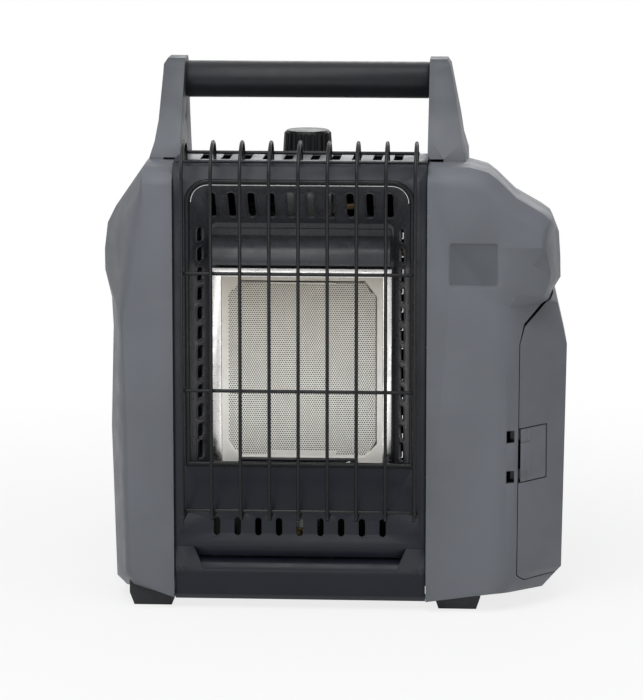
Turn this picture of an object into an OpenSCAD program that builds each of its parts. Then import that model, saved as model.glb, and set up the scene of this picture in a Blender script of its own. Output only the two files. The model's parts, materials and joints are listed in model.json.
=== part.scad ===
// Portable radiant heater that runs from a one-pound fuel cylinder kept behind a side door.
// Front faces -Y, +Z is up, the feet stand on z = 0.

/* [Body] */
// Overall width across the two side covers
body_w = 332; // [310:1:360]
// Depth of the housing, from the covers' front face to its back
body_d = 193; // [180:1:220]
// Height of the shells under the handle uprights
body_top = 319; // [312:1:340]
// Height of the wide shoulder's upper edge
shoulder_top = 285; // [280:1:292]
// Height of the crease across the shoulder
shoulder_mid = 256; // [250:1:262]
// Height of the shoulder's lower edge
shoulder_low = 238; // [234:1:244]
// Wall of the moulded covers and shells
wall = 2.6; // [2:0.1:3.2]
// Gap at the seams between covers
seam = 0.5; // [0.3:0.1:1]
// Depth at which front covers and rear shells meet
part_depth = 45; // [40:1:47]
// Distance of the right flank's front edge from the body's side
flank_front_in = 40; // [38:1:44]
// Share of the way to the waist over which the covers' front edge is rounded
edge_share = 0.25; // [0.1:0.05:0.4]
// Width of the guarded opening between the front covers
front_w = 180; // [176:1:184]
// Distance of the opening's middle from the body's middle, to the left
front_shift = 23; // [18:1:26]
// Width of the blank label recess on the right cover
label_w = 34.6; // [25:1:40]
// Height of the label recess
label_h = 30.7; // [20:1:36]
// Depth of the label recess
label_deep = 0.9; // [0.5:0.1:1.5]

/* [Handle] */
// Overall height, to the top of the uprights
handle_top = 387; // [370:1:410]
// Clear width between the two uprights
handle_span = 177; // [176.6:0.1:177.4]
// Outer diameter of the grip
grip_d = 26.6; // [22:0.2:30]
// Height of the grip's axis
grip_z = 371; // [360:1:374]
// Depth of the grip's axis behind the front face
grip_depth = 101; // [98:1:104]
// Diameter of the steel tube inside the grip
grip_tube_d = 16; // [12:0.5:18]
// Thickness of an upright at its top
upright_t = 15; // [13:0.5:17]

/* [Guard] */
// Diameter of the guard wire
wire_d = 2.5; // [2:0.1:3]
// Number of upright wires
wire_count = 9; // [7:1:11]
// Spacing of the upright wires
wire_pitch = 20.4; // [16:0.1:21.5]
// How far the guard stands out in front of the covers
guard_reach = 27; // [24:1:32]
// Height of the hooks' peaks
hook_top = 338; // [336:1:342]
// Radius of the long bend from the front up to the peak
hook_front_r = 25; // [22:1:27]
// Radius of the short bend behind the peak
hook_back_r = 13; // [10:1:14]
// Bend radius at the lower ends of the wires
wire_foot_r = 6; // [4:0.5:8]
// Height at which the upright wires turn back into the panel
wire_foot_z = 70; // [68:1:72]

/* [Front panel] */
// Thickness of the panel sheet
sheet = 1; // [0.8:0.1:1.2]
// Depth of the panel behind the covers' front face
panel_depth = 3; // [2.5:0.5:4]
// Height of the panel's upper fold
panel_top = 321; // [319:0.5:322]
// Height of the panel's lower fold
panel_low = 46; // [44:1:50]
// Width of the window
window_w = 155.6; // [150:0.2:158]
// Lower edge of the window
window_z0 = 107.5; // [105:0.5:110]
// Upper edge of the window
window_z1 = 307; // [305:1:313]
// Corner radius of the window
window_r = 13; // [8:1:16]
// Number of slots in the lower panel
vent_count = 9; // [5:1:10]
// Spacing of the lower slots
vent_pitch = 14.8; // [12:0.1:16]
// Width of a lower slot
vent_w = 4.6; // [3:0.1:5]
// Height of a lower slot
vent_h = 13; // [8:0.5:14]
// Middle height of the lower slots
vent_z = 60.5; // [58:0.5:61]

/* [Burner] */
// Depth of the reflector pan's back
pan_depth = 34; // [32:0.5:36]
// Lower edge of the pan
pan_z0 = 84; // [82:1:86]
// Width of the ceramic tile
tile_w = 115; // [105:1:116]
// Height of the ceramic tile
tile_h = 135; // [125:1:136]
// Lower edge of the tile
tile_z = 101.5; // [101:0.5:103]
// Thickness of the tile
tile_t = 13; // [10:0.5:14]
// Width of the stainless frame around the tile
frame_w = 6.5; // [5:0.5:6.5]
// Number of slots along the pan's top
pan_slots = 10; // [6:1:10]
// Spacing of the pan's slots
pan_pitch = 14; // [12:0.1:14.1]
// Number of slots down each side of the pan
side_slots = 12; // [8:1:12]
// Width of the hood over the tile
hood_w = 127; // [118:1:130]
// Depth of the plenum behind the pan
plenum_depth = 34; // [33:1:36]
// Outer diameter of the venturi tube
venturi_d = 18; // [14:1:19]
// Outer diameter of the gas tubes
tube_d = 6; // [5:0.5:6.5]

/* [Controls] */
// Height of the top deck
deck_z = 300; // [298:0.5:301]
// Diameter of the control knob at its foot
knob_d = 37.6; // [34:0.2:40]
// Height of the knob's top
knob_top = 335; // [330:1:338]
// Depth of the knob's axis behind the front face
knob_depth = 95; // [92:1:99]
// Travel of the knob when it is pushed
knob_travel = 3; // [2:0.5:3.5]
// Diameter of the valve stem
stem_d = 7; // [6:0.5:8]
// Number of flutes around the knob
knob_flutes = 24; // [12:1:28]

/* [Fuel bay] */
// Radius of the inlet's female thread
inlet_r = 12.7; // [12.7:0.1:12.7]
// Length of the inlet's thread
inlet_len = 18; // [14:1:20]
// Distance of the cylinder's axis from the body's right side
bay_in = 60; // [59:1:62]
// Depth of the cylinder's axis behind the front face
bay_depth = 101; // [98:1:104]
// Height of the inlet's mouth
inlet_z = 218; // [214:1:219]
// Width of the door, seen from the front
door_w = 34; // [32:1:36]
// Lower edge of the door
door_z0 = 21; // [20.5:0.5:23]
// Height of the door's top edge at its outer side
door_z1 = 225; // [222:1:226]
// Depth of the door's hinge axis behind the front face
hinge_depth = 150; // [148:1:152]
// Diameter of the hinge pins
pin_d = 3; // [2.5:0.1:3.4]
// Radial running clearance of pins and stems
run_gap = 0.08; // [0.04:0.01:0.1]

/* [Base] */
// Distance of the feet from the opening's middle
foot_x = 109.5; // [104:0.5:110]
// Side of a foot at its top
foot_w = 33; // [28:1:36]
// How much narrower a foot is at the floor
foot_taper = 6; // [3:1:10]
// Diameter of the screws
screw_d = 3; // [2.5:0.1:3.4]

/* [Hidden] */

$fn = 48;
eps = 0.01;
big = 400;
touch = 0.05;

shell_grey = [0.42, 0.43, 0.45];
panel_black = [0.19, 0.20, 0.23];
soft_black = [0.10, 0.11, 0.12];
steel_grey = [0.72, 0.72, 0.73];
brass_tone = [0.75, 0.6, 0.3];
cream = [0.9, 0.88, 0.82];

front_y = guard_reach - (body_d + guard_reach) / 2;
half_w = body_w / 2;
mid_x = -front_shift;
open_l = mid_x - front_w / 2;
open_r = mid_x + front_w / 2;
span_l = mid_x - handle_span / 2;
span_r = mid_x + handle_span / 2;
part_y = at(part_depth);
bay_x = half_w - bay_in;
door_x = half_w - door_w;
grip_y = at(grip_depth);
knob_y = at(knob_depth);
bay_y = at(bay_depth);
hinge_y = at(hinge_depth);
floor_l = 6;
floor_r = 5;
flank_waist_in = 2.5;
flank_depth = 120;
flank_in = 2;
flank_drop = 6.3;
edge_steps = 3;
edge_lean = 1.5;
back_in = 10;
back_drop = 16;
drop_span = 40;
// extra inset of the dropped rows at the back
back_lean = 7;

// y of a plane that lies a given depth behind the covers' front face
function at(depth) = front_y + depth;

function unit(v) = v / norm(v);
function flip(p) = [for (i = [len(p) - 1:-1:0]) p[i]];
function left_of(v) = [-v[1], v[0]];
function mitre(a, b, c, t) =
    let (m = left_of(unit(b - a)), n = left_of(unit(c - b))) b + t * (m + n) / (1 + m * n);
function inset_ring(p, t) =
    let (n = len(p)) [for (i = [0:n - 1]) mitre(p[(i + n - 1) % n], p[i], p[(i + 1) % n], t)];
function beside(p, t) =
    let (n = len(p)) [for (i = [0:n - 1])
        i == 0 ? p[0] + t * left_of(unit(p[1] - p[0]))
        : i == n - 1 ? p[i] + t * left_of(unit(p[i] - p[i - 1]))
        : mitre(p[i - 1], p[i], p[i + 1], t)];
// closed outline of a bent sheet that follows the points p
function strip(p, t) = let (q = beside(p, t)) concat(p, flip(q));
function arc(c, r, a0, a1, n) =
    [for (i = [0:n]) let (a = a0 + (a1 - a0) * i / n) c + r * [cos(a), sin(a)]];
function round_rect(x0, x1, z0, z1, r) = concat(
    arc([x0 + r, z0 + r], r, 180, 270, 5), arc([x1 - r, z0 + r], r, 270, 360, 5),
    arc([x1 - r, z1 - r], r, 0, 90, 5), arc([x0 + r, z1 - r], r, 90, 180, 5));

// extrusions of an XZ outline along Y, and of a YZ outline along X
module along_y(y0, y1) translate([0, y1, 0]) rotate([90, 0, 0]) linear_extrude(y1 - y0) children();
module along_x(x0, x1) translate([x0, 0, 0]) rotate([90, 0, 90]) linear_extrude(x1 - x0) children();
module box(x0, x1, y0, y1, z0, z1) translate([x0, y0, z0]) cube([x1 - x0, y1 - y0, z1 - z0]);
module rod_y(x, z, y0, y1, d) translate([x, y1, z]) rotate([90, 0, 0]) cylinder(h = y1 - y0, d = d);
module rod_x(y, z, x0, x1, d) translate([x0, y, z]) rotate([0, 90, 0]) cylinder(h = x1 - x0, d = d);
module rod_z(x, y, z0, z1, d) translate([x, y, z0]) cylinder(h = z1 - z0, d = d);

// solid between outlines [y, XZ points] that have the same number of points; the end faces are cut
// into the triangles that the lists cap0 and cap1 name, or stay whole where the outline is convex
module loft(stations, cap0 = [], cap1 = []) {
    n = len(stations[0][1]);
    m = len(stations);
    whole = [[for (i = [0:n - 1]) i]];
    front = len(cap0) > 0 ? cap0 : whole;
    back = len(cap1) > 0 ? cap1 : whole;
    points = [for (s = stations) for (p = s[1]) [p[0], s[0], p[1]]];
    sides = [for (k = [0:m - 2]) for (i = [0:n - 1])
        let (a = k * n + i, b = k * n + (i + 1) % n) each [[a, b, a + n], [b, b + n, a + n]]];
    polyhedron(points = points, faces = concat(
        [for (f = front) flip(f)], sides, [for (f = back) [for (i = f) (m - 1) * n + i]]));
}

// round bar along straight legs, with a mitred corner at each bend; the ring of one point is carried
// along the leg onto the plane that halves the next bend
function tube_rings(p, ring, i = 1) = i == len(p) ? [] :
    let (d = unit(p[i] - p[i - 1]), n = i == len(p) - 1 ? d : unit(d + unit(p[i + 1] - p[i])),
        next = [for (q = ring) q + d * ((p[i] - q) * n) / (d * n)])
    concat([next], tube_rings(p, next, i + 1));
module pipe(points, d) {
    sides = 10;
    first = unit(points[1] - points[0]);
    u = unit(cross(first, abs(first[2]) > 0.7 ? [1, 0, 0] : [0, 0, 1]));
    v = cross(first, u);
    start = [for (k = [0:sides - 1]) let (a = k * 360 / sides)
        points[0] + d / 2 * (cos(a) * u + sin(a) * v)];
    rings = concat([start], tube_rings(points, start));
    m = len(rings);
    polyhedron(points = [for (r = rings) each r], faces = concat(
        [[for (k = [0:sides - 1]) k]],
        [for (i = [0:m - 2]) for (k = [0:sides - 1])
            let (a = i * sides + k, b = i * sides + (k + 1) % sides)
                each [[b, a, a + sides], [b, a + sides, b + sides]]],
        [[for (k = [sides - 1:-1:0]) (m - 1) * sides + k]]));
}

// ---- outer form of the housing ----
shoulder_rise = shoulder_top - shoulder_mid;
// Corner rows, top to bottom: [inset and height at the front face, inset and height at the waist]; a
// fifth number is the share of the way to the waist that the row covers on the front edge
left_rows = [
    [32, body_top - 13, 32, body_top, 0.9],
    [28, shoulder_top + 2, 8.5, shoulder_top],
    [26, shoulder_top - 8, 2.5, shoulder_top - 12],
    [24, shoulder_mid + 12, 0.2, shoulder_mid - 2],
    [20, shoulder_low, 0.3, shoulder_low + 1],
    [15.5, shoulder_low - 24, 5, shoulder_low - 19],
    [15.5, shoulder_low - 36, 6, shoulder_low - 40],
    [17, 125, 4, 125],
    [19, 26, 7, 14],
    [25, 18, 14, 7],
    [half_w + open_l, floor_l + 2, half_w + open_l, floor_l]
];
right_rows = [
    [76, body_top - 14.5, 69.5, body_top - 0.5, 1],
    [64, body_top - 17, 56.5, body_top - 4, 1],
    [57, body_top - 21, 50, body_top - 9, 1],
    [45, shoulder_top + 2, 36.5, shoulder_top + 12, 1],
    [27, shoulder_top - 7, 18, shoulder_top + 1.5, 1],
    [19, shoulder_top - 12, 11.5, shoulder_top - 3, 0.9],
    [16, shoulder_mid + 0.38 * shoulder_rise, 6.6, shoulder_mid + 0.46 * shoulder_rise],
    [16, shoulder_mid + 5, 5.4, shoulder_mid - 5],
    [50.7, shoulder_mid + 7.2, 5.2, shoulder_low + 2, 0.85],
    [58, shoulder_low - 1.5, 5.1, shoulder_low - 1.5, 0.85],
    [68.5, shoulder_low - 5, 11, shoulder_low - 11.2, 0.9],
    [flank_front_in + 4, shoulder_low - 17, 7, shoulder_low - 20],
    [flank_front_in, 190, 0, 188],
    [flank_front_in, 30, 2.5, 25],
    [flank_front_in + 4, 19, 9, 18],
    [flank_front_in + 7, 14, 16, 10],
    [half_w - open_r, floor_r + 2, half_w - open_r, floor_r]
];
// XZ outline of the housing from one [inset, height] for each row
function outline(left, right) = concat(
    [for (p = left) [p[0] - half_w, p[1]]], [for (p = flip(right)) [half_w - p[0], p[1]]]);
// point of a row on the rounded front edge; s runs from 0 at the front face to 1 on the flank
function edge_point(row, s) = let (reach = len(row) > 4 ? row[4] * s : edge_share * (2 * s - 1))
    [row[0] + reach * (row[2] - row[0]), row[1] + reach * (row[3] - row[1])];
function edge_outline(s) =
    outline([for (row = left_rows) edge_point(row, s)], [for (row = right_rows) edge_point(row, s)]);
// point of a row behind the front edge, drawn in towards the back; the rows over the shoulder also drop
function side_point(row, inset, drop, lean) =
    let (share = min(1, max(0, row[3] - shoulder_low) / drop_span))
    [row[2] + inset + lean * share, row[3] - drop * share];
function side_outline(inset, drop = 0, lean = 0) = outline(
    [for (row = left_rows) side_point(row, inset, drop, lean)],
        [for (row = right_rows) side_point(row, inset, drop, lean)]);
// triangles between the left row i and the right row j of an outline p, from top to bottom
function row_triangles(p, i = 0, j = 0) =
    let (n = len(p), more_l = i < len(left_rows) - 1, more_r = j < len(right_rows) - 1)
    !more_l && !more_r ? []
    : more_l && (!more_r || p[i + 1][1] >= p[n - 2 - j][1])
        ? concat([[i, i + 1, n - 1 - j]], row_triangles(p, i + 1, j))
        : concat([[i, n - 2 - j, n - 1 - j]], row_triangles(p, i, j + 1));
// the housing's outer form, drawn in by t
module envelope(t) {
    edge = [for (k = [0:edge_steps]) let (s = k / edge_steps)
        [at(part_depth * edge_share * s * s + t * cos(atan(edge_lean * s))),
            inset_ring(edge_outline(s), t)]];
    back = inset_ring(side_outline(back_in, back_drop, back_lean), t);
    loft(concat(edge, [
        [part_y, inset_ring(side_outline(0), t)],
        [at(flank_depth), inset_ring(side_outline(flank_in, flank_drop), t)],
        [at(body_d - t), back]]), row_triangles(edge[0][1]), row_triangles(back));
}
// shell piece of the body between x0 and x1, y0 and y1; open towards the sides named by the gaps
module shell_piece(x0, x1, y0, y1, open_x0, open_x1, open_y0, open_y1) {
    difference() {
        intersection() {
            envelope(0);
            box(x0, x1, y0, y1, -big, big);
        }
        intersection() {
            envelope(wall);
            box(x0 + (open_x0 ? -1 : wall), x1 + (open_x1 ? 1 : -wall),
                y0 + (open_y0 ? -1 : wall), y1 + (open_y1 ? 1 : -wall), -big, big);
        }
    }
}

// ---- door outline, seen from the front ----
door_cut = 5;
// share of the gap that the door's slanted top edge takes
top_share = 4.5;
function door_outline(g) = let (top = door_z1 + top_share * g) [
    [door_x - g, door_z0 + door_cut - g], [door_x + door_cut - g, door_z0 - g], [half_w + 9, door_z0 - g],
    [half_w + 9, top], [half_w - 10 - g, top], [door_x + 4 - g, top - 20], [door_x + 0.8 - g, door_z1 - 32]];
module door_prism(g, y1) along_y(front_y - 1, y1) polygon(door_outline(g));
// latch tongue between two slits of the door
tongue_z0 = 94;
tongue_z1 = 132;
tongue_len = 19.5;
tongue_gap = 1.8;
slit = 0.8;
tab_w = 7;
tab_rise = 1.2;
prong_w = 9;
prong_root = 5;
// the prongs meet the tongue's wall at their root
prong_depth = (flank_front_in - door_w + prong_root) * part_depth / (flank_front_in - flank_waist_in) + 1.4;
hinge_r = 3;
hinge_x = half_w - 13.5;
hinge_relief = 11.5;
hinge_gap = 0.4;
knuckle_low = [34, 60];
knuckle_high = [170, 196];

// ---- screw places ----
foot_inset = 16;
foot_ys = [at(foot_inset + 10), at(body_d - foot_inset - 8)];
foot_shift = 3;
foot_xs = [mid_x + foot_shift - foot_x, mid_x + foot_shift + foot_x];
boss_d = 9;
foot_boss_top = 30;
cover_tab = 14;
function cover_screw_z(s) = s < 0 ? [60, 180] : [18, body_top - 29];

module foot_bosses(xs, ys) {
    intersection() {
        envelope(0);
        for (x = xs) for (y = ys) rod_z(x, y, 0, foot_boss_top, boss_d);
    }
}
module foot_bores(xs, ys) for (x = xs) for (y = ys) rod_z(x, y, -1, foot_boss_top - 2, screw_d);

module left_front_cover() {
    y1 = part_y - seam / 2;
    color(shell_grey) difference() {
        union() {
            shell_piece(-big, open_l, front_y - 1, y1, true, false, true, true);
            foot_bosses([foot_xs[0]], [foot_ys[0]]);
            cover_tabs(-1);
        }
        foot_bores([foot_xs[0]], [foot_ys[0]]);
        cover_tab_bores(-1);
        notch_cut(-1);
    }
}
// tabs inside the front covers that the rear shells screw to
module cover_tabs(side) {
    x0 = side < 0 ? open_l - cover_tab : open_r;
    for (z = cover_screw_z(side)) box(x0, x0 + cover_tab, part_y - seam / 2 - 4, part_y - seam / 2,
        z - 10, z + 6);
}
module cover_tab_bores(side) {
    x = side < 0 ? open_l - cover_tab / 2 : open_r + cover_tab / 2;
    for (z = cover_screw_z(side)) rod_y(x, z, part_y - 6, part_y + 1, screw_d);
}
// dark snap slot at the foot of each upright
module notch_cut(side) {
    x0 = side < 0 ? open_l - 1 : open_r - 1;
    box(x0 - (side < 0 ? 9 : 0), x0 + (side < 0 ? 0 : 11), part_y - 3, part_y + 6, body_top - 3.2,
        body_top + 1);
}

module label_recess() {
    z1 = shoulder_mid + 10.3;
    x1 = open_r + 50.2;
    difference() {
        along_y(front_y - 1, front_y + 20) polygon(round_rect(x1 - label_w, x1, z1 - label_h, z1, 3));
        envelope(label_deep);
    }
}
module latch_windows() {
    for (z = [tongue_z0, tongue_z1 - prong_w])
        box(door_x - 8.2, door_x - 2.6, front_y - 1, at(14), z, z + prong_w);
}
module right_front_cover() {
    y1 = part_y - seam / 2;
    color(shell_grey) difference() {
        union() {
            shell_piece(open_r, big, front_y - 1, y1, false, true, true, true);
            foot_bosses([foot_xs[1]], [foot_ys[0]]);
            cover_tabs(1);
        }
        door_prism(seam, hinge_y);
        label_recess();
        latch_windows();
        foot_bores([foot_xs[1]], [foot_ys[0]]);
        cover_tab_bores(1);
        notch_cut(1);
    }
}

// ---- uprights of the handle ----
upright_foot = 24;
upright_hole_rise = 25;
// XZ outline of an upright, seen from the front; s is -1 for the left one
function upright_front(s, extra) = let (x = s < 0 ? span_l : span_r) [
    [x, body_top - upright_foot], [x, handle_top], [x + s * (upright_t - 2.5), handle_top],
    [x + s * upright_t, handle_top - 4], [x + s * (upright_t + 4 + extra), body_top + 26],
    [x + s * (upright_t + 6 + extra), body_top + 12], [x + s * (upright_t + 9.5 + extra), body_top],
    [x + s * (upright_t + 10 + extra), body_top - upright_foot]];
upright_side = [
    [part_y + seam / 2, body_top - upright_foot], [part_y + seam / 2, body_top + 1],
    [at(part_depth + 9), body_top + 17], [at(grip_depth - 18), handle_top - 10],
    [at(grip_depth - 15), handle_top - 3], [at(grip_depth - 11), handle_top],
    [at(grip_depth + 12), handle_top], [at(grip_depth + 16), handle_top - 4],
    [at(grip_depth + 27), body_top + 22], [at(grip_depth + 44), body_top - upright_foot]];
module upright(s, extra) {
    outline = s < 0 ? upright_front(s, extra) : flip(upright_front(s, extra));
    difference() {
        intersection() {
            along_y(part_y, at(body_d)) polygon(outline);
            along_x(span_l - 60, span_r + 60) polygon(upright_side);
        }
        intersection() {
            along_y(part_y, at(body_d)) polygon(inset_ring(outline, wall));
            along_x(span_l - 60, span_r + 60) polygon(inset_ring(flip(upright_side), wall));
        }
    }
    // socket for the end of the handle tube
    x0 = s < 0 ? span_l - upright_t + 0.5 : span_r;
    intersection() {
        along_y(part_y, at(body_d)) polygon(outline);
        rod_x(grip_y, grip_z, x0, x0 + upright_t - 0.5, grip_tube_d + 6);
    }
}
module upright_bores(s) {
    x0 = s < 0 ? span_l - upright_t + wall : span_r - 1;
    rod_x(grip_y, grip_z, x0, x0 + upright_t - wall + 1, grip_tube_d + 2 * touch);
    rod_x(at(grip_depth - 9), body_top + upright_hole_rise, s < 0 ? span_l - 5 : span_r - 1,
        s < 0 ? span_l + 1 : span_r + 5, 5);
}

module rear_shell(s) {
    y0 = part_y + seam / 2;
    x_out = s * big;
    x_in = s < 0 ? open_l : open_r;
    shell_piece(min(x_out, x_in), max(x_out, x_in), y0, at(body_d), s < 0, s > 0, true, false);
}
module rear_tabs(s) {
    x0 = s < 0 ? open_l - cover_tab : open_r;
    for (z = cover_screw_z(s))
        box(x0, x0 + cover_tab, part_y + seam / 2, part_y + seam / 2 + 3, z - 10, z + 6);
}
// rim inside each rear shell that the back panel lies on
back_rim = 10;
module back_rim_strip(s) {
    x0 = s < 0 ? open_l - wall : open_r - back_rim;
    box(x0, x0 + back_rim + wall, at(body_d - 7), at(body_d - 4.5), 30, deck_z - 20);
}
module left_rear_shell() {
    color(shell_grey) difference() {
        union() {
            rear_shell(-1);
            upright(-1, -2.5);
            foot_bosses([foot_xs[0]], [foot_ys[1]]);
            rear_tabs(-1);
            back_rim_strip(-1);
        }
        shell_core(-1);
        foot_bores([foot_xs[0]], [foot_ys[1]]);
        cover_screw_bores(-1);
        back_screw_bores(-1);
        notch_cut(-1);
        upright_bores(-1);
    }
}
// opens the shell's top under the upright so that the upright's hollow joins the shell's
module shell_core(s) {
    x0 = s < 0 ? span_l - upright_t - 6 : span_r + wall;
    box(x0, x0 + upright_t + 6 - wall, part_y + 4, at(grip_depth + 30), body_top - upright_foot - 3,
        body_top - 2);
}
module cover_screw_bores(s) {
    x = s < 0 ? open_l - cover_tab / 2 : open_r + cover_tab / 2;
    for (z = cover_screw_z(s)) rod_y(x, z, part_y - 1, part_y + 6, screw_d + 0.4);
}
back_screw_z = [60, 160, 260];
function back_screw_x(s) = s < 0 ? open_l + 5 : open_r - 5;
module back_screw_bores(s) {
    for (z = back_screw_z) rod_y(back_screw_x(s), z, at(body_d - 9), at(body_d - 3), screw_d);
}
module right_rear_shell() {
    color(shell_grey) difference() {
        union() {
            difference() {
                rear_shell(1);
                // the inner wall stops above the fuel bay
                box(open_r - 1, open_r + wall + 1, part_y, at(body_d - 22), 0, bay_top);
                door_prism(seam, hinge_y + hinge_relief);
                box(hinge_x - hinge_r, half_w, hinge_y, hinge_y + hinge_relief, door_z0 - seam,
                    door_z1 + seam);
            }
            upright(1, 3);
            foot_bosses([foot_xs[1]], [foot_ys[1]]);
            rear_tabs(1);
            back_rim_strip(1);
            hinge_post();
        }
        shell_core(1);
        foot_bores([foot_xs[1]], [foot_ys[1]]);
        cover_screw_bores(1);
        back_screw_bores(1);
        notch_cut(1);
        upright_bores(1);
        hinge_bores();
    }
}
bay_top = 266;
lug_t = 6;
// wall inside the hinge edge of the door, turned out to the side wall, with a lug above and below
// each knuckle; the door's edge swings through the channel between them
module hinge_post() {
    x0 = hinge_x - hinge_r - 3 - hinge_gap;
    intersection() {
        envelope(0);
        union() {
            box(x0, x0 + 3, hinge_y - hinge_r, hinge_y + hinge_relief + 3,
                knuckle_low[0] - lug_t - hinge_gap, door_z1 + 4);
            box(x0, half_w, hinge_y - hinge_r, hinge_y + hinge_relief + 3, door_z1 + seam,
                door_z1 + seam + 3);
            box(x0, half_w, hinge_y + hinge_relief, hinge_y + hinge_relief + 3, door_z0 - 4, door_z1 + 4);
            for (k = [knuckle_low, knuckle_high]) for (z = [k[0] - lug_t - hinge_gap, k[1] + hinge_gap]) {
                rod_z(hinge_x, hinge_y, z, z + lug_t, 2 * hinge_r);
                box(x0, hinge_x, hinge_y - hinge_r, hinge_y + hinge_r, z, z + lug_t);
            }
        }
    }
}
module hinge_bores() {
    for (k = [knuckle_low, knuckle_high])
        rod_z(hinge_x, hinge_y, k[0] - lug_t - 2, k[1] + lug_t + 2, pin_d + 2 * run_gap);
}

module back_panel() {
    y0 = at(body_d - 4.4);
    color(soft_black) difference() {
        box(open_l + seam, open_r - seam, y0, at(body_d - 2), 14, deck_z - 4);
        for (row = [0:13]) for (half = [-1, 1])
            box(mid_x + (half < 0 ? -66 : 6), mid_x + (half < 0 ? -6 : 66), y0 - 1, at(body_d),
                60 + row * 14, 65 + row * 14);
        for (s = [-1, 1]) for (z = back_screw_z)
            rod_y(back_screw_x(s), z, y0 - 1, at(body_d), screw_d + 0.4);
    }
    // sloped louvre over each slot
    color(soft_black) for (row = [0:13]) for (half = [-1, 1])
        along_x(mid_x + (half < 0 ? -66 : 6) + 0.5, mid_x + (half < 0 ? -6 : 66) - 0.5)
            polygon([[y0 + 1, 66 + row * 14], [at(body_d - 2), 66 + row * 14],
                [at(body_d), 60.5 + row * 14], [at(body_d) - 1.4, 60 + row * 14]]);
}
module back_panel_screws() {
    color(steel_grey) for (s = [-1, 1]) for (z = back_screw_z) {
        rod_y(back_screw_x(s), z, at(body_d - 8.5), at(body_d - 1.95), screw_d - 2 * touch);
        rod_y(back_screw_x(s), z, at(body_d - 1.95), at(body_d - 0.1), 2 * screw_d);
    }
}
module cover_screws() {
    color(steel_grey) for (s = [-1, 1]) for (z = cover_screw_z(s)) {
        x = s < 0 ? open_l - cover_tab / 2 : open_r + cover_tab / 2;
        y0 = part_y + seam / 2 + 3 + touch;
        rod_y(x, z, part_y - 5, y0, screw_d - 2 * touch);
        rod_y(x, z, y0, y0 + 2, 2 * screw_d);
    }
}

// ---- middle of the housing ----
grille_depth = 60;
lip = 1.2;
module top_deck() {
    y0 = at(grille_depth + lip + 0.1);
    y1 = at(body_d - 5);
    color(soft_black) difference() {
        union() {
            box(span_l + 0.4, span_r - 0.4, y0, y1, deck_z - 2.6, deck_z);
            box(span_l + 0.4, span_r - 0.4, y0, y0 + 2, deck_z - 2.6, panel_top - 0.3);
            box(span_l + 0.4, span_r - 0.4, at(body_d - 7), y1, deck_z - 14, deck_z);
            for (s = [-1, 1]) for (y = deck_screw_ys) rod_z(deck_screw_x(s), y, deck_z - 8, deck_z - 1, 8);
        }
        rod_z(mid_x, knob_y, deck_z - 5, deck_z + 1, stem_d + 4);
        for (s = [-1, 1]) for (y = deck_screw_ys)
            rod_z(deck_screw_x(s), y, deck_z - 9, deck_z + 1, screw_d + 0.4);
        for (s = [-1, 1]) rod_z(mid_x + s * valve_screw_x, knob_y, deck_z - 5, deck_z + 1, screw_d + 0.4);
    }
}
deck_screw_depths = [80, 170];
deck_screw_ys = [for (d = deck_screw_depths) at(d)];
valve_screw_x = 15;
function deck_screw_x(s) = mid_x + s * (handle_span / 2 - 9);
module deck_screws() {
    color(steel_grey) {
        for (s = [-1, 1]) for (y = deck_screw_ys) screw_down(deck_screw_x(s), y, deck_z, 11);
        for (s = [-1, 1]) screw_down(mid_x + s * valve_screw_x, knob_y, deck_z, 9);
    }
}
module screw_down(x, y, z, len) {
    rod_z(x, y, z - len, z + touch, screw_d - 2 * touch);
    rod_z(x, y, z + touch, z + 1.6, 2 * screw_d);
}

grille_gap = 9.5;
grille_pitch = 14.75;
grille_slot_front = 19;
grille_slot_back = 51;
module top_grille() {
    z = panel_top;
    color(panel_black) difference() {
        along_x(open_l + seam, open_r - seam) polygon(strip(
            [[at(9.5), z + 0.1], [at(grille_depth), z + 0.1], [at(grille_depth), deck_z + 4]], lip));
        for (s = [-1, 1]) for (k = [0:4]) {
            x = mid_x + s * (grille_gap + grille_pitch * k);
            box(x - 3.1, x + 3.1, at(grille_slot_front), at(grille_slot_back), z - 3, z + 5);
        }
        for (x = [open_l, span_r - 0.3]) box(x - 0.2, x + 2, part_y - 1, at(grille_depth + 5), 0, z + 5);
    }
}

// outline of the window grown by g: square below, round above
function window_outline(g) = let (x0 = mid_x - window_w / 2 - g, x1 = mid_x + window_w / 2 + g,
    z1 = window_z1 - 0.5 + g, r = window_r + g) concat([[x0, window_z0 - g], [x1, window_z0 - g]],
    arc([x1 - r, z1 - r], r, 0, 90, 8), arc([x0 + r, z1 - r], r, 90, 180, 8));
// front panel: one sheet with folds at the top and at the foot
panel_l = open_l + seam;
panel_r = open_r - seam;
rim_w = 3;
module slot_xz(x, z, w, h, y0, y1) {
    along_y(y0, y1) translate([x, z]) hull_free_slot(w, h);
}
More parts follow.
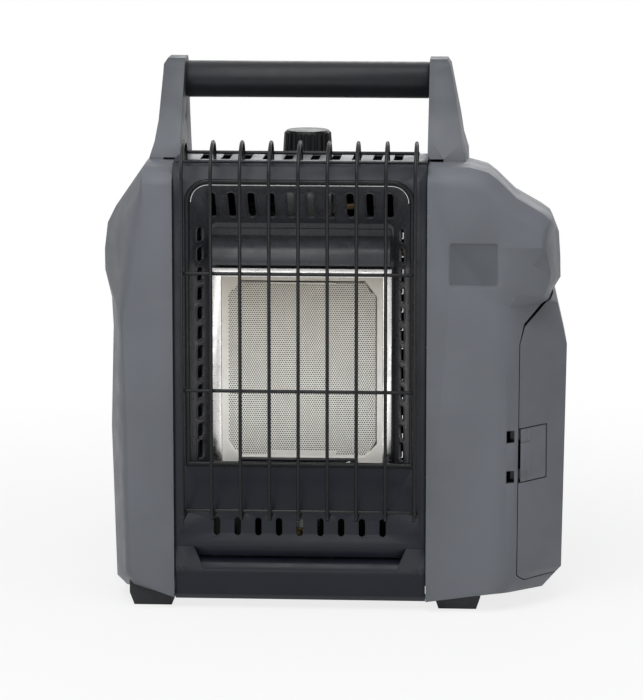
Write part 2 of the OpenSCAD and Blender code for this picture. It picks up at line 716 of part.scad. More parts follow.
// upright slot with round ends
module hull_free_slot(w, h) {
    square([w, h - w], center = true);
    for (s = [-1, 1]) translate([0, s * (h - w) / 2]) circle(d = w, $fn = 24);
}
module front_panel() {
    y0 = at(panel_depth);
    profile = [[at(panel_depth + 6), panel_top], [at(panel_depth + 1.5), panel_top - 0.3],
        [y0, panel_top - 2], [y0, panel_low], [at(panel_depth + 5), panel_low - 8],
            [at(panel_depth + 9), panel_low - 9]];
    color(panel_black) difference() {
        union() {
            along_x(panel_l, panel_r) polygon(strip(flip(profile), -sheet));
            // raised rim of the window and the two long ribs
            along_y(y0 - 1, y0 + eps) polygon(window_outline(rim_w));
            for (s = [-1, 1]) along_y(y0 - 0.9, y0 + eps)
                translate([mid_x + s * 84.3, (panel_low + panel_top) / 2])
                    hull_free_slot(2.4, panel_top - panel_low - 22);
        }
        along_y(y0 - 2, y0 + 5) polygon(window_outline(0));
        for (i = [0:vent_count - 1])
            slot_xz(mid_x + (i - (vent_count - 1) / 2) * vent_pitch, vent_z, vent_w, vent_h, y0 - 2, y0 + 5);
        for (i = [0:wire_count - 1]) rod_y(wire_x(i), wire_foot_z + wire_d / 2, y0 - 2, y0 + 5,
            wire_d + 0.3);
    }
}
apron_low = 6.5;
fold_w = 148;
// flush fill at both ends of the fold between panel and apron, slanted towards the middle
module apron_ends() {
    y0 = at(panel_depth);
    z0 = panel_low - 19;
    for (s = [-1, 1]) {
        x_in = mid_x + s * fold_w / 2;
        x_out = s < 0 ? panel_l : panel_r;
        ends = [[x_out, z0], [x_in - s * 6, z0], [x_in + s * 2, panel_low - 0.2], [x_out, panel_low - 0.2]];
        intersection() {
            along_x(min(x_in - 6, x_out), max(x_in + 6, x_out)) polygon([[y0 - 0.4, z0], [y0 + 6, z0],
                [y0 + 8.8, panel_low - 9.2], [y0 + 4.9, panel_low - 8.2], [y0, panel_low - 0.2]]);
            along_y(y0 - 2, y0 + 12) polygon(s < 0 ? ends : flip(ends));
        }
    }
}
module lower_apron() {
    c = [at(panel_depth + 9), panel_low - 19];
    roll = arc(c, 9.5, 100, 190, 8);
    profile = concat([[at(panel_depth + 16), panel_low - 9.6]], roll,
        [[at(panel_depth + 0.5), apron_low + 4], [at(panel_depth + 4), apron_low],
            [at(panel_depth + 20), apron_low]]);
    color(panel_black) {
        along_x(panel_l, panel_r) polygon(strip(profile, 1.6));
        apron_ends();
        for (s = [-1, 1]) for (k = [0, 1])
            along_x(mid_x + s * (83 + 4.5 * k) - 0.6, mid_x + s * (83 + 4.5 * k) + 0.6)
            polygon(strip(arc(c, 9, 100, 190, 8), -1.4));
    }
}

tray_z = 12;
module base_tray() {
    y1 = at(body_d - 8);
    color(panel_black) difference() {
        union() {
            box(panel_l, panel_r, at(30), y1, tray_z, tray_z + 1.5);
            box(panel_l, panel_r, at(30), at(31.5), tray_z, tray_z + 20);
            box(panel_l, panel_r, y1 - 1.5, y1, tray_z, tray_z + 16);
        }
        for (i = [0:5]) for (k = [0:2])
            slot_xy(mid_x - 60 + i * 24, at(60 + k * 35), 5, 24);
    }
}
module slot_xy(x, y, w, h) translate([x, y, tray_z - 1]) linear_extrude(4) hull_free_slot(w, h);

module rubber_feet() {
    color(soft_black) difference() {
        for (x = foot_xs) for (y = foot_ys) difference() {
            w = foot_w / 2;
            v = w - foot_taper / 2;
            intersection() {
                along_y(y - w, y + w) polygon([[x - v, 0], [x + v, 0], [x + w, foot_taper * 1.6],
                    [x + w, 22],
                    [x - w, 22], [x - w, foot_taper * 1.6]]);
                along_x(x - w, x + w) polygon([[y - v, 0], [y + v, 0], [y + w, foot_taper * 1.6],
                    [y + w, 22],
                    [y - w, 22], [y - w, foot_taper * 1.6]]);
            }
            rod_z(x, y, -1, 4, 2 * screw_d + 2);
            rod_z(x, y, 0, 30, screw_d + 0.4);
        }
        translate([0, 0, -touch]) envelope(0);
    }
}
module foot_screws() {
    color(steel_grey) for (x = foot_xs) for (y = foot_ys) {
        rod_z(x, y, 1.8, 4 - touch, 2 * screw_d);
        rod_z(x, y, 3, foot_boss_top - 3, screw_d - 2 * touch);
    }
}

module handle_grip() {
    color(soft_black) difference() {
        rod_x(grip_y, grip_z, span_l + 0.2, span_r - 0.2, grip_d);
        rod_x(grip_y, grip_z, span_l - 1, span_r + 1, grip_tube_d + 2 * touch);
    }
}
module handle_tube() {
    reach = upright_t - wall - 0.6;
    color(steel_grey) difference() {
        rod_x(grip_y, grip_z, span_l - reach, span_r + reach, grip_tube_d);
        rod_x(grip_y, grip_z, span_l - 40, span_r + 40, grip_tube_d - 3);
    }
}

// ---- wire guard ----
wire_y = front_y - guard_reach + wire_d / 2;
guard_x = mid_x + 0.9;
function wire_x(i) = guard_x + (i - (wire_count - 1) / 2) * wire_pitch;
// quarter bend of wire in the YZ plane about (y, z), from angle a0 over 90 degrees
module wire_bend(x, y, z, r, a0) {
    translate([x, y, z]) rotate([90, 0, 90]) rotate([0, 0, a0]) rotate_extrude(angle = 90, $fn = 64)
        translate([r, 0]) circle(d = wire_d, $fn = 20);
}
module guard_upright_wires() {
    z_low = wire_foot_z + wire_foot_r + wire_d / 2;
    z_high = hook_top - hook_front_r - wire_d / 2;
    peak = hook_top - wire_d / 2;
    color(soft_black) for (i = [0:wire_count - 1]) {
        x = wire_x(i);
        rod_z(x, wire_y, z_low, z_high, wire_d);
        wire_bend(x, wire_y + hook_front_r, z_high, hook_front_r, 90);
        wire_bend(x, wire_y + hook_front_r, peak - hook_back_r, hook_back_r, 0);
        // the two outer wires stand on the grille, the others end at the rear cross wire
        rear_z0 = i % (wire_count - 1) == 0 ? panel_top + lip + 0.3 : rear_wire_z - 1;
        rod_z(x, wire_y + hook_front_r + hook_back_r, min(rear_z0, peak - hook_back_r - 1),
            peak - hook_back_r, wire_d);
        wire_bend(x, wire_y + wire_foot_r, z_low, wire_foot_r, 180);
        rod_y(x, z_low - wire_foot_r, wire_y + wire_foot_r, at(panel_depth + sheet + 2), wire_d);
    }
}
rear_wire_z = panel_top + 6.6;
cross_z = [77.6, 163.5, 246.7];
module guard_cross_wires() {
    reach = (wire_count - 1) / 2 * wire_pitch + 1.5;
    y = wire_y + wire_d + touch / 2;
    color(soft_black) {
        for (z = cross_z) rod_x(y, z, guard_x - reach, guard_x + reach, wire_d);
        rod_x(wire_y + hook_front_r + hook_back_r + wire_d + touch / 2, rear_wire_z, guard_x - reach,
            guard_x + reach, wire_d);
    }
}

// ---- burner ----
pan_front = panel_depth + sheet + 0.3;
pan_l = mid_x - window_w / 2 - 1.5;
pan_r = mid_x + window_w / 2 + 1.5;
pan_side_in = 13;
side_slot_z = 268.4;
side_slot_pitch = 14.1;
pan_top_back = 276;
pan_low_back = 92;
tile_l = mid_x - tile_w / 2;
tile_r = mid_x + tile_w / 2;
tile_top = tile_z + tile_h;
tile_front = pan_depth - 5;
fit = 0.3;
burner_screw_in = frame_w - 2.3;
module pan_form(t) {
    loft([
        [at(pan_front) - (t > 0 ? 1 : 0),
            round_rect(pan_l + t, pan_r - t, pan_z0 + t, window_z1 + 0.5 - t, window_r)],
        [at(pan_depth + sheet - t), round_rect(pan_l + pan_side_in + t, pan_r - pan_side_in - t,
            pan_low_back + t,
            pan_top_back - t, 4)]]);
}
pilot_x = mid_x + 40;
electrode_x = pilot_x - 11;
couple_x = pilot_x + 11;
pilot_y = at(21);
module reflector_pan() {
    color(soft_black) difference() {
        union() {
            pan_form(0);
            along_y(at(pan_front), at(pan_front) + sheet)
                polygon(round_rect(pan_l - 6, pan_r + 6, pan_z0 - 4, window_z1 + 2, window_r));
        }
        pan_form(sheet);
        for (i = [0:pan_slots - 1])
            slot_xz(mid_x + (i - (pan_slots - 1) / 2) * pan_pitch, pan_top_back + 14, 4.9, 19.5, at(-5),
                at(60));
        for (i = [0:side_slots - 1]) for (s = [-1, 1])
            side_slot(s, side_slot_z - side_slot_pitch * i, i < side_slots - 1 ? 4.7 : 6.4);
        box(tile_l - fit, tile_r + fit, at(20), at(60), tile_z - fit, tile_top + fit);
        for (x = [electrode_x, pilot_x, couple_x]) rod_z(x, pilot_y, pan_z0 - 6, pan_low_back + 1, 7);
        burner_screw_bores(screw_d + 0.4);
    }
}
module side_slot(s, z, half_h) {
    box(s < 0 ? pan_l - 10 : pan_r - 30, s < 0 ? pan_l + 30 : pan_r + 10, at(14.5), at(23), z - half_h,
        z + half_h);
}
module burner_screw_bores(d) {
    for (x = [tile_l - burner_screw_in, tile_r + burner_screw_in]) for (z = [tile_z + 10, tile_top - 10])
        rod_y(x, z, at(30.5), at(60), d);
}
// convex visor over the tile
hood_top = 271;
module hood_outline() {
    polygon(strip(concat([[at(pan_depth - 1.5), hood_top - 4.8]],
        arc([at(pan_depth - 3), hood_top - 24], 19, 92, 178, 8)), sheet));
}
module heat_hood() {
    x0 = mid_x - hood_w / 2;
    x1 = mid_x + hood_w / 2;
    color(soft_black) {
        along_x(x0, x1) hood_outline();
        for (x = [x0, x1 - sheet]) along_x(x, x + sheet)
            polygon(concat([[at(pan_depth - 3.5), hood_top - 24]],
                arc([at(pan_depth - 3), hood_top - 24], 19, 92, 178, 8)));
        box(x0, x1, at(pan_depth - 1.5), at(pan_depth - 0.1), hood_top - 8, hood_top);
    }
}
module burner_frame() {
    color(steel_grey) difference() {
        box(tile_l - frame_w, tile_r + frame_w, at(tile_front - 0.8), at(pan_depth - touch),
            tile_z - frame_w + 1, tile_top + frame_w);
        box(tile_l - fit, tile_r + fit, at(0), at(60), tile_z - fit, tile_top + fit);
        burner_screw_bores(screw_d - 0.4);
    }
}
module ceramic_tile() {
    color(cream) difference() {
        box(tile_l, tile_r, at(tile_front), at(tile_front + tile_t), tile_z, tile_top);
        // the perforated field lies a little below the plain border
        along_y(at(tile_front - 1), at(tile_front + 0.6))
            polygon([[tile_l + 4, tile_z + 8], [tile_r - 4, tile_z + 8],
            [tile_r - 4, tile_top - 15], [tile_r - 12, tile_top - 3], [tile_l + 12, tile_top - 3],
                [tile_l + 4, tile_top - 15]]);
    }
}
// round bar that keeps the tile's lower edge in, on two legs from the pan's floor
tile_bar_z = 104.6;
tile_bar_d = 3.2;
tile_bar_x = [mid_x - 43.8, mid_x + 40.2];
module tile_bar() {
    y = at(tile_front - tile_bar_d / 2 - 1);
    floor_z = pan_z0 + sheet + (pan_low_back - pan_z0) * (tile_front - tile_bar_d / 2 - 1 - pan_front)
        / (pan_depth + sheet - pan_front);
    color(soft_black) {
        rod_x(y, tile_bar_z, tile_bar_x[0], tile_bar_x[1], tile_bar_d);
        for (x = [tile_bar_x[0] + 7, mid_x + 15]) rod_z(x, y, floor_z + 0.8, tile_bar_z, 2.6);
    }
}
flange_y = pan_depth + sheet + 0.1;
module burner_gasket() {
    y0 = at(tile_front + tile_t + 0.1);
    color([0.85, 0.85, 0.8]) difference() {
        box(tile_l, tile_r, y0, y0 + 2.5, tile_z, tile_top);
        box(tile_l + 6, tile_r - 6, y0 - 1, y0 + 4, tile_z + 6, tile_top - 6);
    }
}
module burner_plenum() {
    y0 = at(flange_y);
    y1 = y0 + plenum_depth;
    ledge = at(tile_front + tile_t + 2.7);
    color(steel_grey) difference() {
        union() {
            box(tile_l - 7, tile_r + 7, y0, y0 + sheet, tile_z - 4, tile_top + 6);
            box(tile_l - fit - sheet, tile_r + fit + sheet, y0, y1, tile_z - fit - sheet,
                tile_top + fit + sheet);
        }
        box(tile_l - fit, tile_r + fit, y0 - 1, ledge, tile_z - fit, tile_top + fit);
        box(tile_l + 5, tile_r - 5, ledge - 1, ledge + sheet + 1, tile_z + 5, tile_top - 5);
        box(tile_l - fit, tile_r + fit, ledge + sheet, y1 - sheet, tile_z - fit, tile_top + fit);
        rod_z(mid_x, venturi_y, tile_z - 5, tile_z + 5, venturi_d + 2 * touch);
        burner_screw_bores(screw_d + 0.4);
    }
}
module burner_screws() {
    y0 = at(flange_y) + sheet + touch;
    color(steel_grey) for (x = [tile_l - burner_screw_in, tile_r + burner_screw_in])
        for (z = [tile_z + 10, tile_top - 10]) {
        rod_y(x, z, at(31), y0, screw_d - 0.5);
        rod_y(x, z, y0, y0 + 1.8, 2 * screw_d - 1);
    }
}
venturi_y = at(flange_y + plenum_depth - sheet - venturi_d / 2 - 2);
jet_z = 50;
module venturi_tube() {
    z0 = jet_z + 0.5;
    color(steel_grey) difference() {
        union() {
            rod_z(mid_x, venturi_y, z0 + 10, tile_z + 8, venturi_d);
            translate([mid_x, venturi_y, z0]) cylinder(h = 10, d1 = venturi_d + 6, d2 = venturi_d);
            rod_z(mid_x, venturi_y, tile_z - 4.3, tile_z - fit - sheet - touch, venturi_d + 8);
        }
        rod_z(mid_x, venturi_y, z0 + 10, tile_z + 9, venturi_d - 2.4);
        translate([mid_x, venturi_y, z0 - eps])
            cylinder(h = 10 + 2 * eps, d1 = venturi_d + 3.6, d2 = venturi_d - 2.4);
        // primary air ports
        for (a = [0:90:270]) translate([mid_x, venturi_y, z0 + 18]) rotate([90, 0, a])
            cylinder(h = venturi_d, d = 6, $fn = 24);
    }
}
module gas_jet() {
    color(brass_tone) difference() {
        union() {
            rod_z(mid_x, venturi_y, jet_z - 14, jet_z, 12);
            rod_z(mid_x, venturi_y, jet_z, jet_z + 6, 6);
            rod_z(mid_x, venturi_y, jet_z - 2, jet_z - touch, venturi_d + 6);
        }
        rod_z(mid_x, venturi_y, jet_z - 8, jet_z + 7, 1.2);
        rod_y(mid_x, jet_z - 8, venturi_y, venturi_y + 10, tube_d + 2 * touch);
    }
}
valve_w = 36;
valve_z0 = 262;
tube_drop_y = at(knob_depth);
module burner_gas_tube() {
    color(brass_tone) pipe([[mid_x, knob_y, valve_z0 + 2], [mid_x, knob_y, jet_z - 8],
        [mid_x, venturi_y + 1, jet_z - 8]], tube_d);
}
bracket_z = pan_low_back + 1.5;
module pilot_bracket() {
    color(steel_grey) difference() {
        union() {
            box(electrode_x - 6, couple_x + 6, pilot_y - 6, at(tile_front - 1), bracket_z, bracket_z + 1.2);
            box(electrode_x - 6, couple_x + 6, at(tile_front - 2.2), at(tile_front - 1), bracket_z,
                bracket_z + 5);
        }
        for (x = [electrode_x, pilot_x, couple_x])
            rod_z(x, pilot_y, bracket_z - 1, bracket_z + 3, 5 + 2 * touch);
    }
}
module pilot_burner() {
    color(brass_tone) difference() {
        union() {
            rod_z(pilot_x, pilot_y, bracket_z - 9, bracket_z + 6, 5);
            rod_z(pilot_x, pilot_y, bracket_z - 9, bracket_z - 0.2, 6.6);
        }
        rod_z(pilot_x, pilot_y, bracket_z, bracket_z + 7, 3);
    }
}
low_run = 72;
module pilot_gas_tube() {
    color(brass_tone) pipe([[mid_x - 9, knob_y - 9, valve_z0 + 2], [mid_x - 9, knob_y - 9, low_run],
        [pilot_x, at(72), low_run],
        [pilot_x, pilot_y, low_run], [pilot_x, pilot_y, bracket_z - 9 - touch]], 3.2);
}
module thermocouple() {
    color([0.6, 0.5, 0.4]) {
        rod_z(couple_x, pilot_y, bracket_z - 8, bracket_z + 9, 4);
        pipe([[couple_x, pilot_y, bracket_z - 8 - touch], [couple_x, pilot_y, low_run + 4],
            [couple_x, knob_y + 9, low_run + 4],
            [mid_x + 9, knob_y + 9, low_run + 4], [mid_x + 9, knob_y + 9, valve_z0 + 2]], 2);
    }
}
module spark_electrode() {
    color([0.92, 0.92, 0.9]) rod_z(electrode_x, pilot_y, bracket_z - 9, bracket_z + 5, 4.6);
    color(steel_grey) pipe([[electrode_x, pilot_y, bracket_z + 5 + touch],
        [electrode_x, pilot_y, bracket_z + 9],
        [electrode_x + 6, pilot_y, bracket_z + 11]], 1.4);
}
piezo_x = mid_x - valve_w / 2 - 26;
module ignition_lead() {
    color(soft_black) pipe([[electrode_x, pilot_y, bracket_z - 9.1], [electrode_x, pilot_y, low_run - 6],
        [electrode_x, at(78), low_run - 6], [piezo_x, at(84), low_run - 6], [piezo_x, knob_y, low_run + 10],
        [piezo_x, knob_y, valve_z0 + 10.9]], 2.4);
}
module piezo_igniter() {
    z = valve_z0 + 18;
    color([0.15, 0.15, 0.16]) {
        rod_x(knob_y, z, piezo_x - 8, mid_x - valve_w / 2 - 6, 14);
        rod_x(knob_y, z, mid_x - valve_w / 2 - 6 - eps, mid_x - valve_w / 2 - touch, 8);
    }
}
module control_valve() {
    z1 = deck_z - 2.6 - touch;
    color(brass_tone) difference() {
        union() {
            box(mid_x - valve_w / 2, mid_x + valve_w / 2, knob_y - 14, knob_y + 14, valve_z0, z1 - 4);
            box(mid_x - valve_screw_x - 6, mid_x + valve_screw_x + 6, knob_y - 9, knob_y + 9,
                z1 - 4 - eps, z1);
            rod_x(knob_y, valve_z0 + 18, mid_x + valve_w / 2 - eps, mid_x + valve_w / 2 + 6, 12);
        }
        rod_z(mid_x, knob_y, z1 - 26, z1 + 1, stem_d + 2 * run_gap);
        for (s = [-1, 1]) rod_z(mid_x + s * valve_screw_x, knob_y, z1 - 10, z1 + 1, screw_d);
        rod_z(mid_x, knob_y, valve_z0 - 1, valve_z0 + 3, tube_d + 2 * touch);
        rod_z(mid_x - 9, knob_y - 9, valve_z0 - 1, valve_z0 + 3, 3.2 + 2 * touch);
        rod_z(mid_x + 9, knob_y + 9, valve_z0 - 1, valve_z0 + 3, 2 + 2 * touch);
        rod_x(knob_y, valve_z0 + 18, mid_x + valve_w / 2 + 3, mid_x + valve_w / 2 + 7, tube_d + 2 * touch);
    }
}
// moving parts of the control: the collar slides down, the stem and the knob slide and turn
module valve_push_collar() {
    color(steel_grey) difference() {
        rod_z(mid_x, knob_y, collar_z - 1.5, collar_z, stem_d + 6);
        rod_z(mid_x, knob_y, collar_z - 3, collar_z + 1, stem_d + 2 * run_gap);
    }
}
knob_z0 = deck_z + 2 + knob_travel + 0.5;
collar_z = knob_z0 + 5 - touch;
module valve_stem() {
    color(steel_grey) rod_z(mid_x, knob_y, deck_z - 24, knob_top - 8, stem_d);
}
flute_lean = 3.4;
module control_knob() {
    taper = 1.8;
    color(soft_black) difference() {
        translate([mid_x, knob_y]) rotate_extrude() polygon([[0, knob_z0], [knob_d / 2, knob_z0],
            [knob_d / 2 - taper, knob_top - 2], [knob_d / 2 - taper - 2, knob_top], [0, knob_top]]);
        for (i = [0:knob_flutes - 1]) rotate_about(i * 360 / knob_flutes)
            translate([mid_x + knob_d / 2 + 0.2, knob_y, knob_z0 + 3]) rotate([0, -flute_lean, 0])
                cylinder(h = knob_top - knob_z0, d = 2.8);
        rod_z(mid_x, knob_y, knob_z0 - 1, knob_z0 + 5, stem_d + 10);
        rod_z(mid_x, knob_y, knob_z0 - 1, knob_top - 8 + touch, stem_d + 2 * touch);
    }
}
module rotate_about(a) translate([mid_x, knob_y, 0]) rotate([0, 0, a]) translate([-mid_x, -knob_y, 0])
    children();
module knob_bezel() {
    color(soft_black) difference() {
        rod_z(mid_x, knob_y, deck_z + touch, deck_z + 1.8, knob_d + 12);
        rod_z(mid_x, knob_y, deck_z - 1, deck_z + 3, knob_d + 4);
    }
}

// ---- fuel side ----
reg_z = 240;
module cylinder_inlet() {
    color(brass_tone) difference() {
        union() {
            rod_z(bay_x, bay_y, inlet_z, inlet_z + inlet_len + 2, 2 * inlet_r + 8);
            rod_z(bay_x, bay_y, inlet_z + inlet_len + 2 - eps, reg_z - touch, 16);
        }
        rod_z(bay_x, bay_y, inlet_z - 1, inlet_z + inlet_len, 2 * inlet_r);
    }
}
reg_d = 54;
module regulator() {
    color(steel_grey) difference() {
        union() {
            rod_z(bay_x, bay_y, reg_z, reg_z + 10, reg_d);
            translate([bay_x, bay_y, reg_z + 10]) cylinder(h = 8, d1 = reg_d, d2 = reg_d - 20);
            rod_z(bay_x, bay_y, reg_z + 18 - eps, reg_z + 21, 16);
            rod_x(bay_y, reg_z + 5, bay_x - reg_d / 2 - 8, bay_x - reg_d / 2 + 2, 9.9);
        }
        rod_x(bay_y, reg_z + 5, bay_x - reg_d / 2 - 9, bay_x - reg_d / 2 - 3, tube_d + 2 * touch);
    }
}
shield_x = mid_x + 73;
module regulator_bracket() {
    z = reg_z + 18 + touch;
    color(steel_grey) difference() {
        union() {
            box(shield_x + 1.3, bay_x + 20, bay_y - 20, bay_y + 20, z, z + 1.5);
            box(shield_x + 1.3, shield_x + 2.8, bay_y - 20, bay_y + 20, z - 30, z + 1.5);
        }
        rod_z(bay_x, bay_y, z - 1, z + 3, 16 + 2 * touch);
        rod_x(bay_y, reg_z + 5, shield_x - 1, shield_x + 6, tube_d + 1);
    }
}
module supply_tube() {
    z = reg_z + 5;
    color(brass_tone) pipe([[bay_x - reg_d / 2 - 4, bay_y, z], [shield_x - 16, bay_y, z],
        [mid_x + valve_w / 2 + 20, knob_y, valve_z0 + 18],
            [mid_x + valve_w / 2 + 4, knob_y, valve_z0 + 18]], tube_d);
}
module bay_heat_shield() {
    color(steel_grey) difference() {
        union() {
            box(shield_x, shield_x + 1.2, at(part_depth + 4), at(body_d - 10), tray_z + 1.6, reg_z + 28);
            box(shield_x - 12, shield_x + 1.2, at(part_depth + 4), at(body_d - 10), tray_z + 1.6,
                tray_z + 2.8);
        }
        rod_x(bay_y, reg_z + 5, shield_x - 1, shield_x + 3, tube_d + 3);
    }
}

module tongue_box(x0, g) {
    box(x0, door_x + tongue_len + g, front_y - 5, at(part_depth), tongue_z0 - g, tongue_z1 + g);
}
module door_skin() {
    difference() {
        intersection() {
            envelope(0);
            door_prism(0, hinge_y);
        }
        intersection() {
            envelope(wall);
            door_prism(3, hinge_y + 1);
        }
    }
}
module fuel_door() {
    color(shell_grey) difference() {
        union() {
            door_skin();
            for (k = [knuckle_low, knuckle_high]) {
                rod_z(hinge_x, hinge_y, k[0], k[1], 2 * hinge_r);
                intersection() {
                    envelope(0);
                    box(hinge_x - hinge_r + 1, half_w, hinge_y - 12, hinge_y, k[0], k[1]);
                }
            }
        }
        for (k = [knuckle_low, knuckle_high]) {
            rod_z(hinge_x, hinge_y, k[0] - 1, k[1] + 1, pin_d + 2 * touch);
            // notches in the door's edge for the lugs
            for (z = [k[0] - lug_t - 2 * hinge_gap, k[1]]) box(hinge_x - hinge_r - hinge_gap, half_w,
                hinge_y - hinge_r - hinge_gap, hinge_y + 1, z, z + lug_t + 2 * hinge_gap);
        }
        tongue_box(door_x - 1, slit);
    }
}
module door_latch() {
    x0 = door_x + tongue_gap;
    color(shell_grey) difference() {
        union() {
            intersection() {
                envelope(0);
                tongue_box(x0, 0);
            }
            // raised tab for the finger
            intersection() {
                envelope(-tab_rise);
                box(x0, x0 + tab_w, front_y - 5, at(part_depth), tongue_z0 + 7, tongue_z1 - 10);
            }
        }
        intersection() {
            envelope(wall);
            tongue_box(x0 - 2, 2);
        }
    }
    color(shell_grey) for (z = [tongue_z0 + 1, tongue_z1 - prong_w + 1])
        box(door_x - 5.5, door_x + 8, at(prong_depth), at(prong_depth + 3), z, z + prong_w - 2);
}
module door_hinge_pins() {
    color(steel_grey) for (k = [knuckle_low, knuckle_high])
        rod_z(hinge_x, hinge_y, k[0] - lug_t, k[1] + lug_t, pin_d);
}

// ---- tip-over switch on the base tray ----
switch_x = mid_x - 62;
switch_depth = 150;
switch_y = at(switch_depth);
switch_z = tray_z + 1.5 + touch;
module tip_switch_housing() {
    color([0.85, 0.85, 0.82]) difference() {
        box(switch_x - 15, switch_x + 15, switch_y - 8, switch_y + 8, switch_z, switch_z + 34);
        box(switch_x - 13, switch_x + 13, switch_y - 9, switch_y + 6, switch_z + 2, switch_z + 32);
        rod_y(switch_x, switch_z + 28, switch_y - 10, switch_y + 7.5, 2 + 2 * run_gap);
    }
    color([0.85, 0.85, 0.82]) difference() {
        box(switch_x - 3, switch_x + 3, switch_y - 7.9, switch_y - 6, switch_z + 24, switch_z + 32 + eps);
        rod_y(switch_x, switch_z + 28, switch_y - 10, switch_y + 10, 2 + 2 * run_gap);
    }
}
module tip_switch_pendulum() {
    color(steel_grey) {
        rod_y(switch_x, switch_z + 28, switch_y - 7.5, switch_y + 7, 2);
        rod_z(switch_x, switch_y, switch_z + 12, switch_z + 28, 2);
        translate([switch_x, switch_y, switch_z + 10]) sphere(d = 9);
    }
}

left_front_cover();
right_front_cover();
left_rear_shell();
right_rear_shell();
back_panel();
top_deck();
top_grille();
front_panel();
lower_apron();
base_tray();
rubber_feet();
foot_screws();
handle_grip();
handle_tube();
guard_upright_wires();
guard_cross_wires();
reflector_pan();
heat_hood();
burner_frame();
ceramic_tile();
tile_bar();
burner_gasket();
burner_plenum();
burner_screws();
venturi_tube();
gas_jet();
burner_gas_tube();
pilot_bracket();
pilot_burner();
pilot_gas_tube();
thermocouple();
spark_electrode();
ignition_lead();
piezo_igniter();
control_valve();
valve_push_collar();
valve_stem();
control_knob();
knob_bezel();
deck_screws();
regulator();
cylinder_inlet();
regulator_bracket();
supply_tube();
bay_heat_shield();
fuel_door();
door_latch();
door_hinge_pins();
back_panel_screws();
cover_screws();
tip_switch_housing();
tip_switch_pendulum();
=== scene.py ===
import json
import math

import bmesh
import bpy
from mathutils import Matrix, Vector

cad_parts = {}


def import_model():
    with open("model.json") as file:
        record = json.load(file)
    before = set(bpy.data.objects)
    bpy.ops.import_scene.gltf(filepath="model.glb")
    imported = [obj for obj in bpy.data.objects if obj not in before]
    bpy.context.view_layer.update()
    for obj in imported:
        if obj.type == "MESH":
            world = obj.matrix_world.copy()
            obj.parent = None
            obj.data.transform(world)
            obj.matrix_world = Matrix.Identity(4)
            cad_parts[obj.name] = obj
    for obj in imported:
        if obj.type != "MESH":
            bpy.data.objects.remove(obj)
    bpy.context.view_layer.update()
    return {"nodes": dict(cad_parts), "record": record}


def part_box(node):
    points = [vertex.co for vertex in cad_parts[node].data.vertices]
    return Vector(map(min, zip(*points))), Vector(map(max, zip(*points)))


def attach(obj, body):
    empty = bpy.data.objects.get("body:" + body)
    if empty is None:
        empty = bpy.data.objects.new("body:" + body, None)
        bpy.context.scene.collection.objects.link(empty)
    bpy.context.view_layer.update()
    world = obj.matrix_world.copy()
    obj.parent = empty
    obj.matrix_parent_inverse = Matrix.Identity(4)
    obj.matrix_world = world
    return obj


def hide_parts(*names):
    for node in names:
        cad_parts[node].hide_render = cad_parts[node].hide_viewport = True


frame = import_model()

MM = 0.001
X, Y, Z = Vector((1, 0, 0)), Vector((0, 1, 0)), Vector((0, 0, 1))


# ---- places read from the frame ----

def span(node):
    """Lowest and highest corner of a CAD node as vectors."""
    low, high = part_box(node)
    return Vector(low), Vector(high)


def solids(node):
    """(lowest, highest) corner of each separate solid of a CAD node."""
    mesh = frame["nodes"][node].data
    keys = {}
    key_of = [keys.setdefault(tuple(round(c, 6) for c in v.co), len(keys)) for v in mesh.vertices]
    places = list(keys)
    parent = list(range(len(places)))

    def root(i):
        while parent[i] != i:
            parent[i] = parent[parent[i]]
            i = parent[i]
        return i

    for edge in mesh.edges:
        parent[root(key_of[edge.vertices[0]])] = root(key_of[edge.vertices[1]])
    groups = {}
    for i, place in enumerate(places):
        groups.setdefault(root(i), []).append(place)
    boxes = [(Vector(map(min, zip(*g))), Vector(map(max, zip(*g)))) for g in groups.values()]
    return sorted(boxes, key=lambda b: tuple(b[0]))


# ---- material helpers ----

NOISE_LOW, NOISE_HIGH = 0.35, 0.65  # noise values at the two ends of a colour or a roughness


